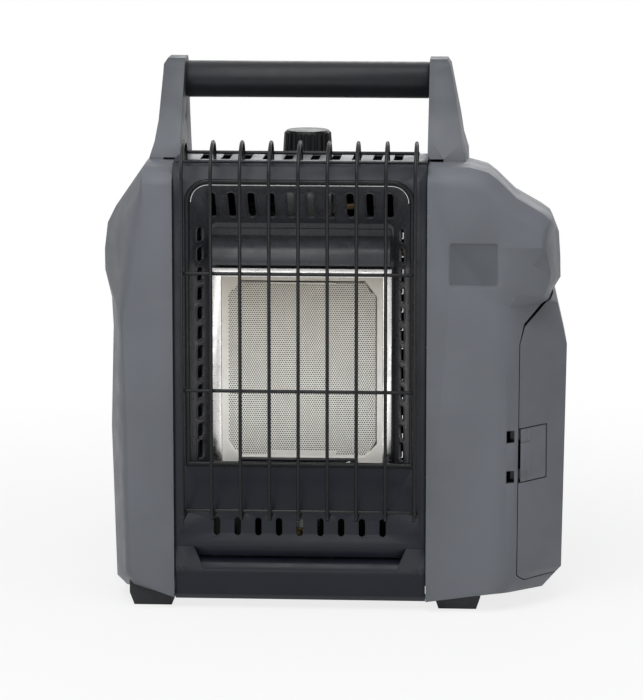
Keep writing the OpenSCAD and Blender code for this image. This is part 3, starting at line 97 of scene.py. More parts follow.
class Surface:
    """A Principled material that is built up step by step."""

    def __init__(self, name, color, roughness, metallic=0.0, specular=0.5):
        self.material = bpy.data.materials.new(name)
        self.material.use_nodes = True
        self.tree = self.material.node_tree
        self.bsdf = self.tree.nodes["Principled BSDF"]
        self.bsdf.inputs["Base Color"].default_value = (*color, 1)
        self.bsdf.inputs["Roughness"].default_value = roughness
        self.bsdf.inputs["Metallic"].default_value = metallic
        self.bsdf.inputs["Specular IOR Level"].default_value = specular
        self.place = self.add("ShaderNodeTexCoord").outputs["Object"]
        self.height = None

    def add(self, kind, **settings):
        made = self.tree.nodes.new(kind)
        for key, value in settings.items():
            setattr(made, key, value)
        return made

    def link(self, source, target):
        self.tree.links.new(source, target)

    def stretched(self, scale):
        """Object coordinates stretched along an axis."""
        mapping = self.add("ShaderNodeMapping")
        mapping.inputs["Scale"].default_value = scale
        self.link(self.place, mapping.inputs["Vector"])
        return mapping.outputs["Vector"]

    def noise(self, scale, detail=3.0, vector=None):
        made = self.add("ShaderNodeTexNoise")
        made.inputs["Scale"].default_value = scale
        made.inputs["Detail"].default_value = detail
        self.link(vector or self.place, made.inputs["Vector"])
        return made.outputs["Fac"]

    def ramp(self, fac, low, high, color0, color1):
        """Colour that runs from color0 at one value of fac to color1 at another."""
        made = self.add("ShaderNodeValToRGB")
        made.color_ramp.elements[0].position = low
        made.color_ramp.elements[1].position = high
        made.color_ramp.elements[0].color = (*color0, 1)
        made.color_ramp.elements[1].color = (*color1, 1)
        self.link(fac, made.inputs["Fac"])
        return made.outputs["Color"]

    def mottle(self, color, spread, scale):
        """Base colour that drifts a little over the surface."""
        low = [c * (1 - spread) for c in color]
        high = [c * (1 + spread) for c in color]
        drift = self.ramp(self.noise(scale), NOISE_LOW, NOISE_HIGH, low, high)
        self.link(drift, self.bsdf.inputs["Base Color"])
        return self

    def polish(self, low, high, scale):
        """Roughness that runs between two values."""
        made = self.add("ShaderNodeMapRange")
        made.inputs["From Min"].default_value = NOISE_LOW
        made.inputs["From Max"].default_value = NOISE_HIGH
        made.inputs["To Min"].default_value = low
        made.inputs["To Max"].default_value = high
        self.link(self.noise(scale, 4.0), made.inputs["Value"])
        self.link(made.outputs["Result"], self.bsdf.inputs["Roughness"])
        return self

    def relief(self, fac, depth, strength=1.0):
        """Adds a bump of the given depth in metres."""
        made = self.add("ShaderNodeBump")
        made.inputs["Strength"].default_value = strength
        made.inputs["Distance"].default_value = depth
        self.link(fac, made.inputs["Height"])
        if self.height:
            self.link(self.height, made.inputs["Normal"])
        self.height = made.outputs["Normal"]
        self.link(self.height, self.bsdf.inputs["Normal"])
        return self

    def tint(self, fac, tone):
        """Multiplies the base colour by a tone where fac is 1."""
        mix = self.add("ShaderNodeMix", data_type="RGBA", blend_type="MULTIPLY")
        base = self.bsdf.inputs["Base Color"].links[0].from_socket
        self.link(fac, mix.inputs["Factor"])
        self.link(base, mix.inputs["A"])
        mix.inputs["B"].default_value = (*tone, 1)
        self.link(mix.outputs["Result"], self.bsdf.inputs["Base Color"])
        return self

    def inside(self, centre, half):
        """1 inside a box of object coordinates, 0 outside."""
        offset = self.add("ShaderNodeVectorMath", operation="SUBTRACT")
        offset.inputs[1].default_value = centre
        self.link(self.place, offset.inputs[0])
        size = self.add("ShaderNodeVectorMath", operation="ABSOLUTE")
        self.link(offset.outputs["Vector"], size.inputs[0])
        share = self.add("ShaderNodeVectorMath", operation="DIVIDE")
        share.inputs[1].default_value = half
        self.link(size.outputs["Vector"], share.inputs[0])
        split = self.add("ShaderNodeSeparateXYZ")
        self.link(share.outputs["Vector"], split.inputs["Vector"])
        largest = split.outputs["X"]
        for axis in ("Y", "Z"):
            both = self.add("ShaderNodeMath", operation="MAXIMUM")
            self.link(largest, both.inputs[0])
            self.link(split.outputs[axis], both.inputs[1])
            largest = both.outputs["Value"]
        within = self.add("ShaderNodeMath", operation="LESS_THAN")
        within.inputs[1].default_value = 1.0
        self.link(largest, within.inputs[0])
        return within.outputs["Value"]

    def bow(self, low, high):
        """1 below one height, falling along a parabola to 0 at another."""
        fall = self.add("ShaderNodeMath", operation="POWER")
        fall.inputs[1].default_value = 2.0
        self.link(self.climb(low, high, "LINEAR"), fall.inputs[0])
        left = self.add("ShaderNodeMath", operation="SUBTRACT")
        left.inputs[0].default_value = 1.0
        self.link(fall.outputs["Value"], left.inputs[1])
        return left.outputs["Value"]

    def climb(self, low, high, shape="SMOOTHSTEP"):
        """0 below one height, 1 above another."""
        split = self.add("ShaderNodeSeparateXYZ")
        self.link(self.place, split.inputs["Vector"])
        rise = self.add("ShaderNodeMapRange", interpolation_type=shape)
        rise.inputs["From Min"].default_value = low
        rise.inputs["From Max"].default_value = high
        self.link(split.outputs["Z"], rise.inputs["Value"])
        return rise.outputs["Result"]

    def coat(self, weight, roughness):
        """Clear coat over the finish."""
        self.bsdf.inputs["Coat Weight"].default_value = weight
        self.bsdf.inputs["Coat Roughness"].default_value = roughness
        return self


# ---- materials ----

LABEL_CENTRE = (0.0999, -0.080, 0.25095)
LABEL_HALF = (0.0165, 0.006, 0.0146)
LABEL_TONE = (0.66, 0.67, 0.68)
UPRIGHT_HEIGHTS = (0.328, 0.362)  # the handle's uprights darken between these
UPRIGHT_TONE = (0.60, 0.61, 0.61)
BOW_HEIGHTS = (0.284, 0.334)  # the panel's face leans back between these
BOW_DEPTH = 0.016
HOOD_SHADE_SHARE = (0.45, 0.98)  # painted shade from the hood darkens the tile between these shares of its height


def shell_material():
    color = (0.122, 0.130, 0.146)
    surface = Surface("moulded_grey", color, 0.5, specular=0.3)
    surface.mottle(color, 0.05, 14).polish(0.46, 0.58, 60)
    surface.tint(surface.inside(LABEL_CENTRE, LABEL_HALF), LABEL_TONE)
    surface.tint(surface.climb(*UPRIGHT_HEIGHTS), UPRIGHT_TONE)
    surface.relief(surface.noise(1100, 2.0), 0.00006).relief(surface.noise(90, 2.0), 0.00008, 0.5)
    return surface.material


def panel_material():
    color = (0.009, 0.011, 0.017)
    surface = Surface("panel_enamel", color, 0.36, specular=0.2)
    surface.mottle(color, 0.08, 18).polish(0.3, 0.42, 50).coat(0.05, 0.14)
    surface.relief(surface.bow(*BOW_HEIGHTS), BOW_DEPTH)
    surface.relief(surface.noise(420, 2.0), 0.00004, 0.6)
    return surface.material


def black_enamel():
    color = (0.009, 0.0095, 0.012)
    surface = Surface("black_enamel", color, 0.38, specular=0.28)
    surface.mottle(color, 0.12, 40).polish(0.32, 0.46, 90)
    surface.relief(surface.noise(900, 2.0), 0.00004, 0.6)
    return surface.material


def wire_material():
    color = (0.004, 0.0045, 0.0055)
    surface = Surface("guard_enamel", color, 0.3, specular=0.2)
    surface.mottle(color, 0.1, 60).polish(0.24, 0.36, 140).coat(0.08, 0.12)
    surface.relief(surface.noise(1500, 2.0), 0.00003, 0.5)
    return surface.material


def gloss(name, color, roughness, specular):
    """Smooth dark enamel or plastic."""
    surface = Surface(name, color, roughness, specular=specular)
    surface.mottle(color, 0.1, 60).polish(roughness - 0.05, roughness + 0.07, 140)
    surface.relief(surface.noise(700, 2.0), 0.00003, 0.5)
    return surface.material


def black_plastic():
    color = (0.007, 0.0078, 0.0095)
    surface = Surface("black_plastic", color, 0.42, specular=0.25)
    surface.mottle(color, 0.1, 30).polish(0.38, 0.48, 80)
    surface.relief(surface.noise(1400, 2.0), 0.00005, 0.7)
    return surface.material


def grip_material():
    color = (0.006, 0.007, 0.0095)
    surface = Surface("grip_foam", color, 0.42, specular=0.2)
    surface.mottle(color, 0.15, 25).polish(0.30, 0.42, 120)
    surface.bsdf.inputs["Sheen Weight"].default_value = 0.25
    surface.relief(surface.noise(1800, 3.0), 0.00012, 0.8)
    return surface.material


def rubber_material():
    color = (0.030, 0.031, 0.034)
    surface = Surface("foot_rubber", color, 0.75, specular=0.3)
    surface.mottle(color, 0.2, 60)
    surface.relief(surface.noise(900, 3.0), 0.0001, 0.7)
    return surface.material


def brushed_metal(name, color, along, roughness):
    """Metal with fine scratches; along stretches them where its value for an axis is low."""
    surface = Surface(name, color, roughness, metallic=1.0)
    lines = surface.noise(900, 2.0, surface.stretched(along))
    surface.mottle(color, 0.06, 50).polish(roughness - 0.06, roughness + 0.1, 200)
    surface.relief(lines, 0.00002, 0.7)
    return surface.material


def ceramic_material():
    """Porous cream ceramic, darker towards its top with painted shade where the hood shadows it."""
    low, high = span("ceramic_tile")
    surface = Surface("ceramic_cream", (0.80, 0.77, 0.69), 0.9, specular=0.25)
    height = surface.climb(low.z, high.z, "LINEAR")
    # painted shade: the colour darkens towards the tile's top, standing in for the hood's shadow
    tone = surface.ramp(height, *HOOD_SHADE_SHARE, (0.95, 0.93, 0.87), (0.68, 0.63, 0.55))
    grain = surface.ramp(surface.noise(160), 0.3, 0.7, (0.93, 0.93, 0.92), (1, 1, 1))
    mix = surface.add("ShaderNodeMix", data_type="RGBA", blend_type="MULTIPLY")
    mix.inputs["Factor"].default_value = 1.0
    surface.link(tone, mix.inputs["A"])
    surface.link(grain, mix.inputs["B"])
    surface.link(mix.outputs["Result"], surface.bsdf.inputs["Base Color"])
    surface.relief(surface.noise(2500, 3.0), 0.00005, 0.6)
    return surface.material


def hole_material():
    color = (0.12, 0.10, 0.07)
    surface = Surface("tile_hole", color, 0.95, specular=0.1)
    surface.mottle(color, 0.15, 300)
    return surface.material


def white_glaze():
    color = (0.80, 0.79, 0.75)
    surface = Surface("white_ceramic", color, 0.25)
    surface.mottle(color, 0.03, 80).relief(surface.noise(500, 2.0), 0.00003, 0.4)
    return surface.material


def fibre_material():
    color = (0.72, 0.70, 0.65)
    surface = Surface("fibre_felt", color, 0.95, specular=0.1)
    surface.mottle(color, 0.08, 200).relief(surface.noise(2200, 4.0), 0.0003, 0.9)
    return surface.material


MATERIALS = {
    "shell": shell_material(),
    "panel": panel_material(),
    "black_metal": black_enamel(),
    "wire": wire_material(),
    "bead": gloss("bead_enamel", (0.003, 0.0035, 0.0045), 0.3, 0.2),
    "pan": gloss("pan_enamel", (0.04, 0.041, 0.046), 0.3, 0.25),
    "knob": gloss("knob_plastic", (0.0035, 0.004, 0.0048), 0.36, 0.16),
    # painted highlight: bright metal for the pan's lip, standing in for the light caught on its flange
    "lip_highlight_metal": brushed_metal("lip_highlight_metal", (0.78, 0.78, 0.79), (1, 1, 1), 0.22),
    "black_plastic": black_plastic(),
    "grip": grip_material(),
    "rubber": rubber_material(),
    "stainless": brushed_metal("stainless_brushed", (0.62, 0.61, 0.60), (0.05, 1, 1), 0.28),
    "steel": brushed_metal("zinc_steel", (0.50, 0.50, 0.51), (1, 1, 0.05), 0.36),
    "brass": brushed_metal("turned_brass", (0.66, 0.47, 0.22), (1, 1, 0.05), 0.3),
    "aluminium": brushed_metal("cast_aluminium", (0.56, 0.56, 0.57), (1, 1, 1), 0.45),
    "ceramic": ceramic_material(),
    "hole": hole_material(),
    "white_ceramic": white_glaze(),
    "fibre": fibre_material(),
}


# ---- the CAD nodes: soft edges, smooth curves and their materials ----

def smoothing_group(angle):
    """Node group that shades smooth except over edges sharper than the angle."""
    group = bpy.data.node_groups.new("smooth_by_angle", "GeometryNodeTree")
    group.interface.new_socket("Geometry", in_out="INPUT", socket_type="NodeSocketGeometry")
    group.interface.new_socket("Geometry", in_out="OUTPUT", socket_type="NodeSocketGeometry")
    nodes, links = group.nodes, group.links
    start = nodes.new("NodeGroupInput")
    end = nodes.new("NodeGroupOutput")
    drop = nodes.new("GeometryNodeRemoveAttribute")
    drop.inputs["Name"].default_value = "custom_normal"
    faces = nodes.new("GeometryNodeSetShadeSmooth")
    edges = nodes.new("GeometryNodeSetShadeSmooth")
    edges.domain = "EDGE"
    edges.inputs["Shade Smooth"].default_value = False
    turn = nodes.new("GeometryNodeInputMeshEdgeAngle")
    sharp = nodes.new("FunctionNodeCompare")
    sharp.data_type = "FLOAT"
    sharp.operation = "GREATER_THAN"
    sharp.inputs["B"].default_value = angle
    links.new(start.outputs[0], drop.inputs["Geometry"])
    links.new(drop.outputs["Geometry"], faces.inputs["Geometry"])
    links.new(faces.outputs["Geometry"], edges.inputs["Geometry"])
    links.new(turn.outputs["Unsigned Angle"], sharp.inputs["A"])
    links.new(sharp.outputs["Result"], edges.inputs["Selection"])
    links.new(edges.outputs["Geometry"], end.inputs[0])
    return group


SMOOTHING = smoothing_group(math.radians(32))
BEVEL_ANGLE = math.radians(34)
WELD_GAP = 2e-6
USUAL_EDGE_RADIUS = 0.35
EDGE_RADIUS = {  # in mm, where it isn't the usual one
    "left_front_cover": 0.7, "right_front_cover": 0.7, "left_rear_shell": 0.8, "right_rear_shell": 0.8,
    "fuel_door": 0.7, "door_latch": 0.5, "front_panel": 0.45, "top_grille": 0.4, "lower_apron": 0.5,
    "rubber_feet": 1.2, "handle_grip": 1.5, "control_knob": 0.5, "ceramic_tile": 0.4, "top_deck": 0.6,
    "guard_upright_wires": 0, "guard_cross_wires": 0.5, "regulator": 0.8, "knob_bezel": 0.6,
}

NODE_MATERIALS = {  # where it isn't the one that the record's slot names
    "guard_upright_wires": "wire", "guard_cross_wires": "wire", "reflector_pan": "pan", "heat_hood": "pan",
    "control_knob": "knob",
}


def dress(node, material):
    """Soft edges, smooth shading and a material for a CAD node."""
    obj = frame["nodes"][node]
    weld = obj.modifiers.new("weld", "WELD")
    weld.merge_threshold = WELD_GAP
    radius = EDGE_RADIUS.get(node, USUAL_EDGE_RADIUS) * MM
    if radius:
        bevel = obj.modifiers.new("edges", "BEVEL")
        bevel.width = radius
        bevel.segments = 2
        bevel.limit_method = "ANGLE"
        bevel.angle_limit = BEVEL_ANGLE
        bevel.miter_outer = "MITER_ARC"
    smooth = obj.modifiers.new("smooth", "NODES")
    smooth.node_group = SMOOTHING
    for slot in obj.material_slots:
        slot.material = material


def dress_cad():
    """Dresses each CAD node with the material of its slot, or the one named above."""
    slots = {part["node"]: part["material_slot"] for part in frame["record"]["subparts"]}
    for node, slot in slots.items():
        dress(node, MATERIALS[NODE_MATERIALS.get(node, slot)])


# ---- mesh helpers for the pieces that are built here ----

def finish_piece(name, bm, materials, body="root", sharp=40):
    """Turns a bmesh into an object that rides on a body."""
    mesh = bpy.data.meshes.new(name)
    bmesh.ops.recalc_face_normals(bm, faces=bm.faces)
    bm.to_mesh(mesh)
    bm.free()
    for material in materials:
        mesh.materials.append(material)
    mesh.shade_smooth()
    mesh.set_sharp_from_angle(angle=math.radians(sharp))
    obj = bpy.data.objects.new(name, mesh)
    bpy.context.scene.collection.objects.link(obj)
    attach(obj, body)
    return obj


def ring_strip(bm, rings, closed=True, caps=(False, False)):
    """Skins rings of points, each a list of vectors of the same length."""
    rows = [[bm.verts.new(p) for p in ring] for ring in rings]
    count = len(rows[0])
    last = count if closed else count - 1
    for a, b in zip(rows, rows[1:]):
        for i in range(last):
            bm.faces.new((a[i], a[(i + 1) % count], b[(i + 1) % count], b[i]))
    if caps[0]:
        bm.faces.new(reversed(rows[0]))
    if caps[1]:
        bm.faces.new(rows[-1])
    return rows


def edge_loop(bm, verts):
    """New edges that join vertices in a ring."""
    return [bm.edges.new(pair) for pair in zip(verts, verts[1:] + verts[:1])]


def wall(bm, ring, other):
    """Faces between two rings of vertices."""
    for i in range(len(ring)):
        n = (i + 1) % len(ring)
        bm.faces.new((ring[i], ring[n], other[n], other[i]))


CORNER_STEPS = 5
LEAST_REACH = 1e-5  # keeps the corners of a fully round end apart


def round_slot(w, h, r):
    """Outline with round corners about the origin, as (across, up) pairs, anticlockwise."""
    right, top = max(w / 2 - r, LEAST_REACH), h / 2 - r
    points = []
    for turn, (a, b) in enumerate(((right, top), (-right, top), (-right, -top), (right, -top))):
        for i in range(CORNER_STEPS + 1):
            angle = math.pi / 2 * (turn + i / CORNER_STEPS)
            points.append((a + r * math.cos(angle), b + r * math.sin(angle)))
    return points


# ---- ceramic tile with its holes ----

HOLE_PITCH = 1.66 * MM
HOLE_R = 0.56 * MM
HOLE_DEPTH = 2.2 * MM
HOLE_MARGIN = 0.9 * MM
FIRST_HOLE_X, FIRST_HOLE_Z = 2 * MM, 3 * MM
FIELD_SINK = 0.6 * MM
FIELD_SIDE, FIELD_TOP, FIELD_BOTTOM = 3.8 * MM, 2.2 * MM, 5.0 * MM
CUT_ACROSS, CUT_TOP, CUT_BOTTOM = 8.8 * MM, 11.2 * MM, 10 * MM  # the field's cut corners
MIDDLE_SHARE = 0.285 * 0.75  # half the width of the middle columns over the tile's width
MIDDLE_BOTTOM, MIDDLE_TOP = 9 * MM, 5 * MM


def tile_field(low, high):
    """Outline of the perforated field on the tile's face."""
    x0, x1 = low.x + FIELD_SIDE, high.x - FIELD_SIDE
    z0, z1 = low.z + FIELD_BOTTOM, high.z - FIELD_TOP
    return [(x0, z0 + CUT_BOTTOM), (x0 + CUT_ACROSS, z0), (x1 - CUT_ACROSS, z0), (x1, z0 + CUT_BOTTOM),
            (x1, z1 - CUT_TOP), (x1 - CUT_ACROSS, z1), (x0 + CUT_ACROSS, z1), (x0, z1 - CUT_TOP)]


def inside(outline, x, z, margin):
    """Whether a point lies inside a convex outline that runs anticlockwise, by a margin."""
    for (ax, az), (bx, bz) in zip(outline, outline[1:] + outline[:1]):
        length = math.hypot(bx - ax, bz - az)
        if ((bx - ax) * (z - az) - (bz - az) * (x - ax)) / length < margin:
            return False
    return True


def hole_centres(outline, low, high):
    """Centres of the holes; the middle columns stop short at the top and bottom."""
    row_step = HOLE_PITCH * math.sqrt(3) / 2
    middle_half = (high.x - low.x) * MIDDLE_SHARE
    mid_x = (low.x + high.x) / 2
    z = low.z + FIRST_HOLE_Z
    row = 0
    while z < high.z:
        x = low.x + FIRST_HOLE_X + (HOLE_PITCH / 2 if row % 2 else 0)
        while x < high.x:
            middle = abs(x - mid_x) < middle_half
            short = middle and (z < low.z + MIDDLE_BOTTOM or z > high.z - MIDDLE_TOP)
            if inside(outline, x, z, HOLE_MARGIN) and not short:
                yield x, z
            x += HOLE_PITCH
        z += row_step
        row += 1


def ceramic_tile():
    """The tile with real holes in a sunk field, in place of the plain CAD block."""
    low, high = span("ceramic_tile")
    outline = tile_field(low, high)
    y = low.y + FIELD_SINK
    bm = bmesh.new()
    shared = {}

    def corner(x, z):
        key = (round(x / MM, 2), round(z / MM, 2))
        if key not in shared:
            shared[key] = bm.verts.new((x, y, z))
        return shared[key]

    turns = [math.radians(30 + 60 * k) for k in range(6)]
    cell_r = HOLE_PITCH / math.sqrt(3)
    for x, z in hole_centres(outline, low, high):
        outer = [corner(x + cell_r * math.cos(a), z + cell_r * math.sin(a)) for a in turns]
        mouth = [bm.verts.new((x + HOLE_R * math.cos(a), y, z + HOLE_R * math.sin(a))) for a in turns]
        deep = [bm.verts.new(v.co + Y * HOLE_DEPTH) for v in mouth]
        for k in range(6):
            n = (k + 1) % 6
            bm.faces.new((outer[k], outer[n], mouth[n], mouth[k]))
            bm.faces.new((mouth[k], mouth[n], deep[n], deep[k])).material_index = 1
        bm.faces.new(deep).material_index = 1
    ragged = [e for e in bm.edges if len(e.link_faces) == 1]
    field = [bm.verts.new((px, y, pz)) for px, pz in outline]
    step = [bm.verts.new((px, low.y, pz)) for px, pz in outline]
    bmesh.ops.triangle_fill(bm, use_beauty=True, edges=ragged + edge_loop(bm, field))
    wall(bm, field, step)
    corners = ((low.x, low.z), (high.x, low.z), (high.x, high.z), (low.x, high.z))
    front = [bm.verts.new((px, low.y, pz)) for px, pz in corners]
    back = [bm.verts.new((px, high.y, pz)) for px, pz in corners]
    border = edge_loop(bm, front)
    inner = [bm.edges.get(pair) for pair in zip(step, step[1:] + step[:1])]
    bmesh.ops.triangle_fill(bm, use_beauty=True, edges=border + inner)
    wall(bm, front, back)
    bm.faces.new(back)
    tile = finish_piece("perforated_tile", bm, [MATERIALS["ceramic"], MATERIALS["hole"]])
    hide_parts("ceramic_tile")


# ---- weld beads where the guard's wires cross ----

BEAD_SHARES = (1.25, 0.8, 1.25)  # half sizes over the wire's radius
BEAD_FORWARD = 0.1 * MM
REAR_BEAD_BACK = 0.2 * MM
REAR_WIRE_GAP = 10 * MM  # a cross wire this far behind an upright is the one behind the hooks


def add_bead(bm, centre, size):
    """A small flattened drop of weld."""
    made = bmesh.ops.create_icosphere(bm, subdivisions=2, radius=1.0)
    for v in made["verts"]:
        v.co = Vector(centre) + Vector((v.co.x * size.x, v.co.y * size.y, v.co.z * size.z))


def weld_beads():
    """A drop of weld at each crossing of the guard."""
    uprights = solids("guard_upright_wires")
    crosses = solids("guard_cross_wires")
    bm = bmesh.new()
    for wire_low, wire_high in uprights:
        x = (wire_low.x + wire_high.x) / 2
        wire_r = (wire_high.x - wire_low.x) / 2
        size = Vector([wire_r * share for share in BEAD_SHARES])
        for low, high in crosses:
            z = (low.z + high.z) / 2
            rear = low.y > wire_low.y + REAR_WIRE_GAP
            y = low.y - BEAD_FORWARD + (REAR_BEAD_BACK if rear else 0)
            add_bead(bm, (x, y, z), size)
    finish_piece("guard_welds", bm, [MATERIALS["wire"]])


# ---- embossed rims round the slots of the reflector pan ----

RIM_PROFILE = ((-0.1, -0.3), (0.2, 0.6), (0.8, 0.95), (1.6, 0.55), (2.0, -0.25))  # growth and lift in mm
PAN_FLANGE = 6 * MM  # from the pan's edge to its side wall
PAN_LIP = 2.5 * MM  # from the pan's top to its upper wall
PAN_BACK_Z = 0.275
TOP_SLOTS = 10
TOP_PITCH = 14 * MM
TOP_SLOT_Z = 0.290
TOP_SLOT = (4.9 * MM, 19.5 * MM, 2.45 * MM)  # width, upright height and corner
SIDE_SLOTS = 12
SIDE_PITCH = 14.1 * MM
SIDE_SLOT_Y = 14.45 * MM
SIDE_SLOT_Z = 0.2684
SIDE_SLOT = (9.2 * MM, 9.4 * MM, 2.6 * MM)
LAST_SIDE_HEIGHT = 12.8 * MM
SIDE_LEAN = 13  # in mm over the pan's depth
SHEET = 1  # the pan's sheet in mm


def rim(bm, centre, across, up, width, height, corner):
    """Raised ring round a slot; across and up lie in the sheet and across x up points out of it."""
    normal = across.cross(up)
    rings = []
    for grow, lift in RIM_PROFILE:
        grown = grow * MM
        outline = round_slot(width + 2 * grown, height + 2 * grown, corner + grown)
        rings.append([centre + across * a + up * b + normal * lift * MM for a, b in outline])
    ring_strip(bm, rings)


def slot_rims():
    """Rims on the pan's sloped upper wall and on its two side walls."""
    low, high = span("reflector_pan")
    pan_l, pan_r = low.x + PAN_FLANGE, high.x - PAN_FLANGE
    top_front = Vector((0, low.y, high.z - PAN_LIP))
    top_back = Vector((0, high.y - SHEET * MM, PAN_BACK_Z))
    bm = bmesh.new()

    slope = (top_back - top_front).normalized()
    base = top_front + slope * ((TOP_SLOT_Z - top_front.z) / slope.z)
    width, height, corner = TOP_SLOT
    for i in range(TOP_SLOTS):
        base.x = (pan_l + pan_r) / 2 + (i - (TOP_SLOTS - 1) / 2) * TOP_PITCH
        rim(bm, base.copy(), X, -slope, width, height / abs(slope.z), corner)

    depth = high.y - low.y
    y = low.y + SIDE_SLOT_Y
    share = (y - low.y) / depth
    width, height, corner = SIDE_SLOT
    for side, wall_x in ((1, pan_l), (-1, pan_r)):
        across = Vector((side * SIDE_LEAN * MM, depth, 0)).normalized() * side
        x = wall_x + side * (SHEET + SIDE_LEAN * share) * MM
        for i in range(SIDE_SLOTS):
            tall = LAST_SIDE_HEIGHT if i == SIDE_SLOTS - 1 else height
            rim(bm, Vector((x, y, SIDE_SLOT_Z - i * SIDE_PITCH)), across, Z, width, tall, corner)
    finish_piece("pan_slot_rims", bm, [MATERIALS["pan"]])


# ---- the rolled edge of the panel's window ----

BEAD_PROFILE = (  # growth and lift in mm
    (-0.1, -1.2), (-0.1, 0.9), (0.35, 1.6), (1.1, 2.1), (2.2, 2.1), (3.0, 1.6), (3.4, 0.8), (3.4, -0.1),
)
LIP_PROFILE = ((-0.1, -1.4), (-0.3, -0.9), (-0.7, -0.75), (-1.1, -1.0), (-1.2, -1.8))
WINDOW_SIDE = 7.5 * MM  # from the pan's edge to the window's
WINDOW_FOOT = 0.1075
WINDOW_CORNER = 13 * MM
ARCH_STEPS = 8
FACE_BACK = 1 * MM  # from the panel's foremost point to its face


def window_arch(grow, y):
    """Outline of the window grown by some mm, from the lower left corner over the arch to the right."""
    low, high = span("reflector_pan")
    g = grow * MM
    left, right = low.x + WINDOW_SIDE - g, high.x - WINDOW_SIDE + g
    foot, top, r = WINDOW_FOOT - g, high.z - PAN_LIP + g, WINDOW_CORNER + g
    points = [Vector((left, y, foot))]
    for centre, start in ((left + r, 180), (right - r, 90)):
        for k in range(ARCH_STEPS + 1):
            a = math.radians(start - 90 * k / ARCH_STEPS)
            points.append(Vector((centre + r * math.cos(a), y, top - r + r * math.sin(a))))
    return points + [Vector((right, y, foot))]


def window_edge():
    """Black rolled edge round the window, and a bright metal strip on the pan's lip under its arch: a
    painted highlight for the light caught on the pan's flange.
    """
    face = span("front_panel")[0].y + FACE_BACK
    bm = bmesh.new()
    ring_strip(bm, [window_arch(grow, face - lift * MM) for grow, lift in BEAD_PROFILE])
    finish_piece("window_bead", bm, [MATERIALS["bead"]])

    # painted highlight: a bright strip along the pan's lip in place of the light caught on its flange
    bm = bmesh.new()
    arches = [window_arch(grow, face - lift * MM)[1:-1] for grow, lift in LIP_PROFILE]
    ring_strip(bm, arches, closed=False)
    finish_piece("pan_lip", bm, [MATERIALS["lip_highlight_metal"]])


# ---- screw heads with a cross recess ----

SCREW_SIDES = 24
SHANK_SHARE = 0.48
HEAD_PROFILE = ((1, 0), (1, 0.45), (0.93, 0.75), (0.76, 0.95), (0.55, 1))  # over its radius and height
CROSS_ARM, CROSS_WIDTH, CROSS_DEPTH, CROSS_TAPER = 0.42, 0.11, 0.5, 0.7


def screw(bm, centre, axis, head_r, head_h, shank_r, shank_len):
    """Pan-head screw; centre is the underside of the head, axis points out of it."""
    turn = Z.rotation_difference(axis).to_matrix().to_4x4()
    place = Matrix.Translation(centre) @ turn
    profile = [(shank_r, -shank_len), (shank_r, 0)] + [(head_r * r, head_h * h) for r, h in HEAD_PROFILE]
    turns = [math.tau * k / SCREW_SIDES for k in range(SCREW_SIDES)]
    rings = [[place @ Vector((r * math.cos(a), r * math.sin(a), h)) for a in turns] for r, h in profile]
    crown = ring_strip(bm, rings, caps=(True, False))[-1]
    arm, width, depth = head_r * CROSS_ARM, head_r * CROSS_WIDTH, head_h * CROSS_DEPTH
    cross = [(arm, -width), (arm, width), (width, width), (width, arm), (-width, arm), (-width, width),
             (-arm, width), (-arm, -width), (-width, -width), (-width, -arm), (width, -arm), (width, -width)]
    top = [bm.verts.new(place @ Vector((a, b, head_h))) for a, b in cross]
    floor_points = [Vector((a * CROSS_TAPER, b * CROSS_TAPER, head_h - depth)) for a, b in cross]
    deep = [bm.verts.new(place @ point) for point in floor_points]
    edges = edge_loop(bm, top)
    border = [bm.edges.get(pair) for pair in zip(crown, crown[1:] + crown[:1])]
    bmesh.ops.triangle_fill(bm, use_beauty=True, edges=edges + border)
    wall(bm, top, deep)
    bm.faces.new(deep)


def detailed_screws(node, axis, head_h):
    """Replaces a node of plain screws whose heads face along the axis."""
    bm = bmesh.new()
    for low, high in solids(node):
        size = high - low
        middle = (low + high) / 2
        reach = max(size.dot(axis), -size.dot(axis)) / 2
        across = [s for s, a in zip(size, axis) if not a]
        head_r = max(across) / 2
        top = middle + axis * reach
        seat = top - axis * head_h
        screw(bm, seat, axis, head_r, head_h, head_r * SHANK_SHARE, 2 * reach - head_h)
    made = finish_piece(node + "_detailed", bm, [MATERIALS["steel"]], sharp=30)
    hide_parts(node)


# ---- floor, light and camera ----

def rays_that_see_white(tree):
    """1 for camera, glossy and transmission rays, 0 for the rays that light the object."""
    rays = tree.nodes.new("ShaderNodeLightPath")
    seen = rays.outputs["Is Camera Ray"]
    for kind in ("Is Glossy Ray", "Is Transmission Ray"):
        either = tree.nodes.new("ShaderNodeMath")
        either.operation = "MAXIMUM"
        tree.links.new(seen, either.inputs[0])
        tree.links.new(rays.outputs[kind], either.inputs[1])
        seen = either.outputs["Value"]
    return seen


FLOOR_RADIUS = 6
FLOOR_COLOR = (0.82, 0.82, 0.82)
FLOOR_NEAR, FLOOR_FAR = (0.2, 0.8), (0.86, 1.0)  # distance from the object and share of white


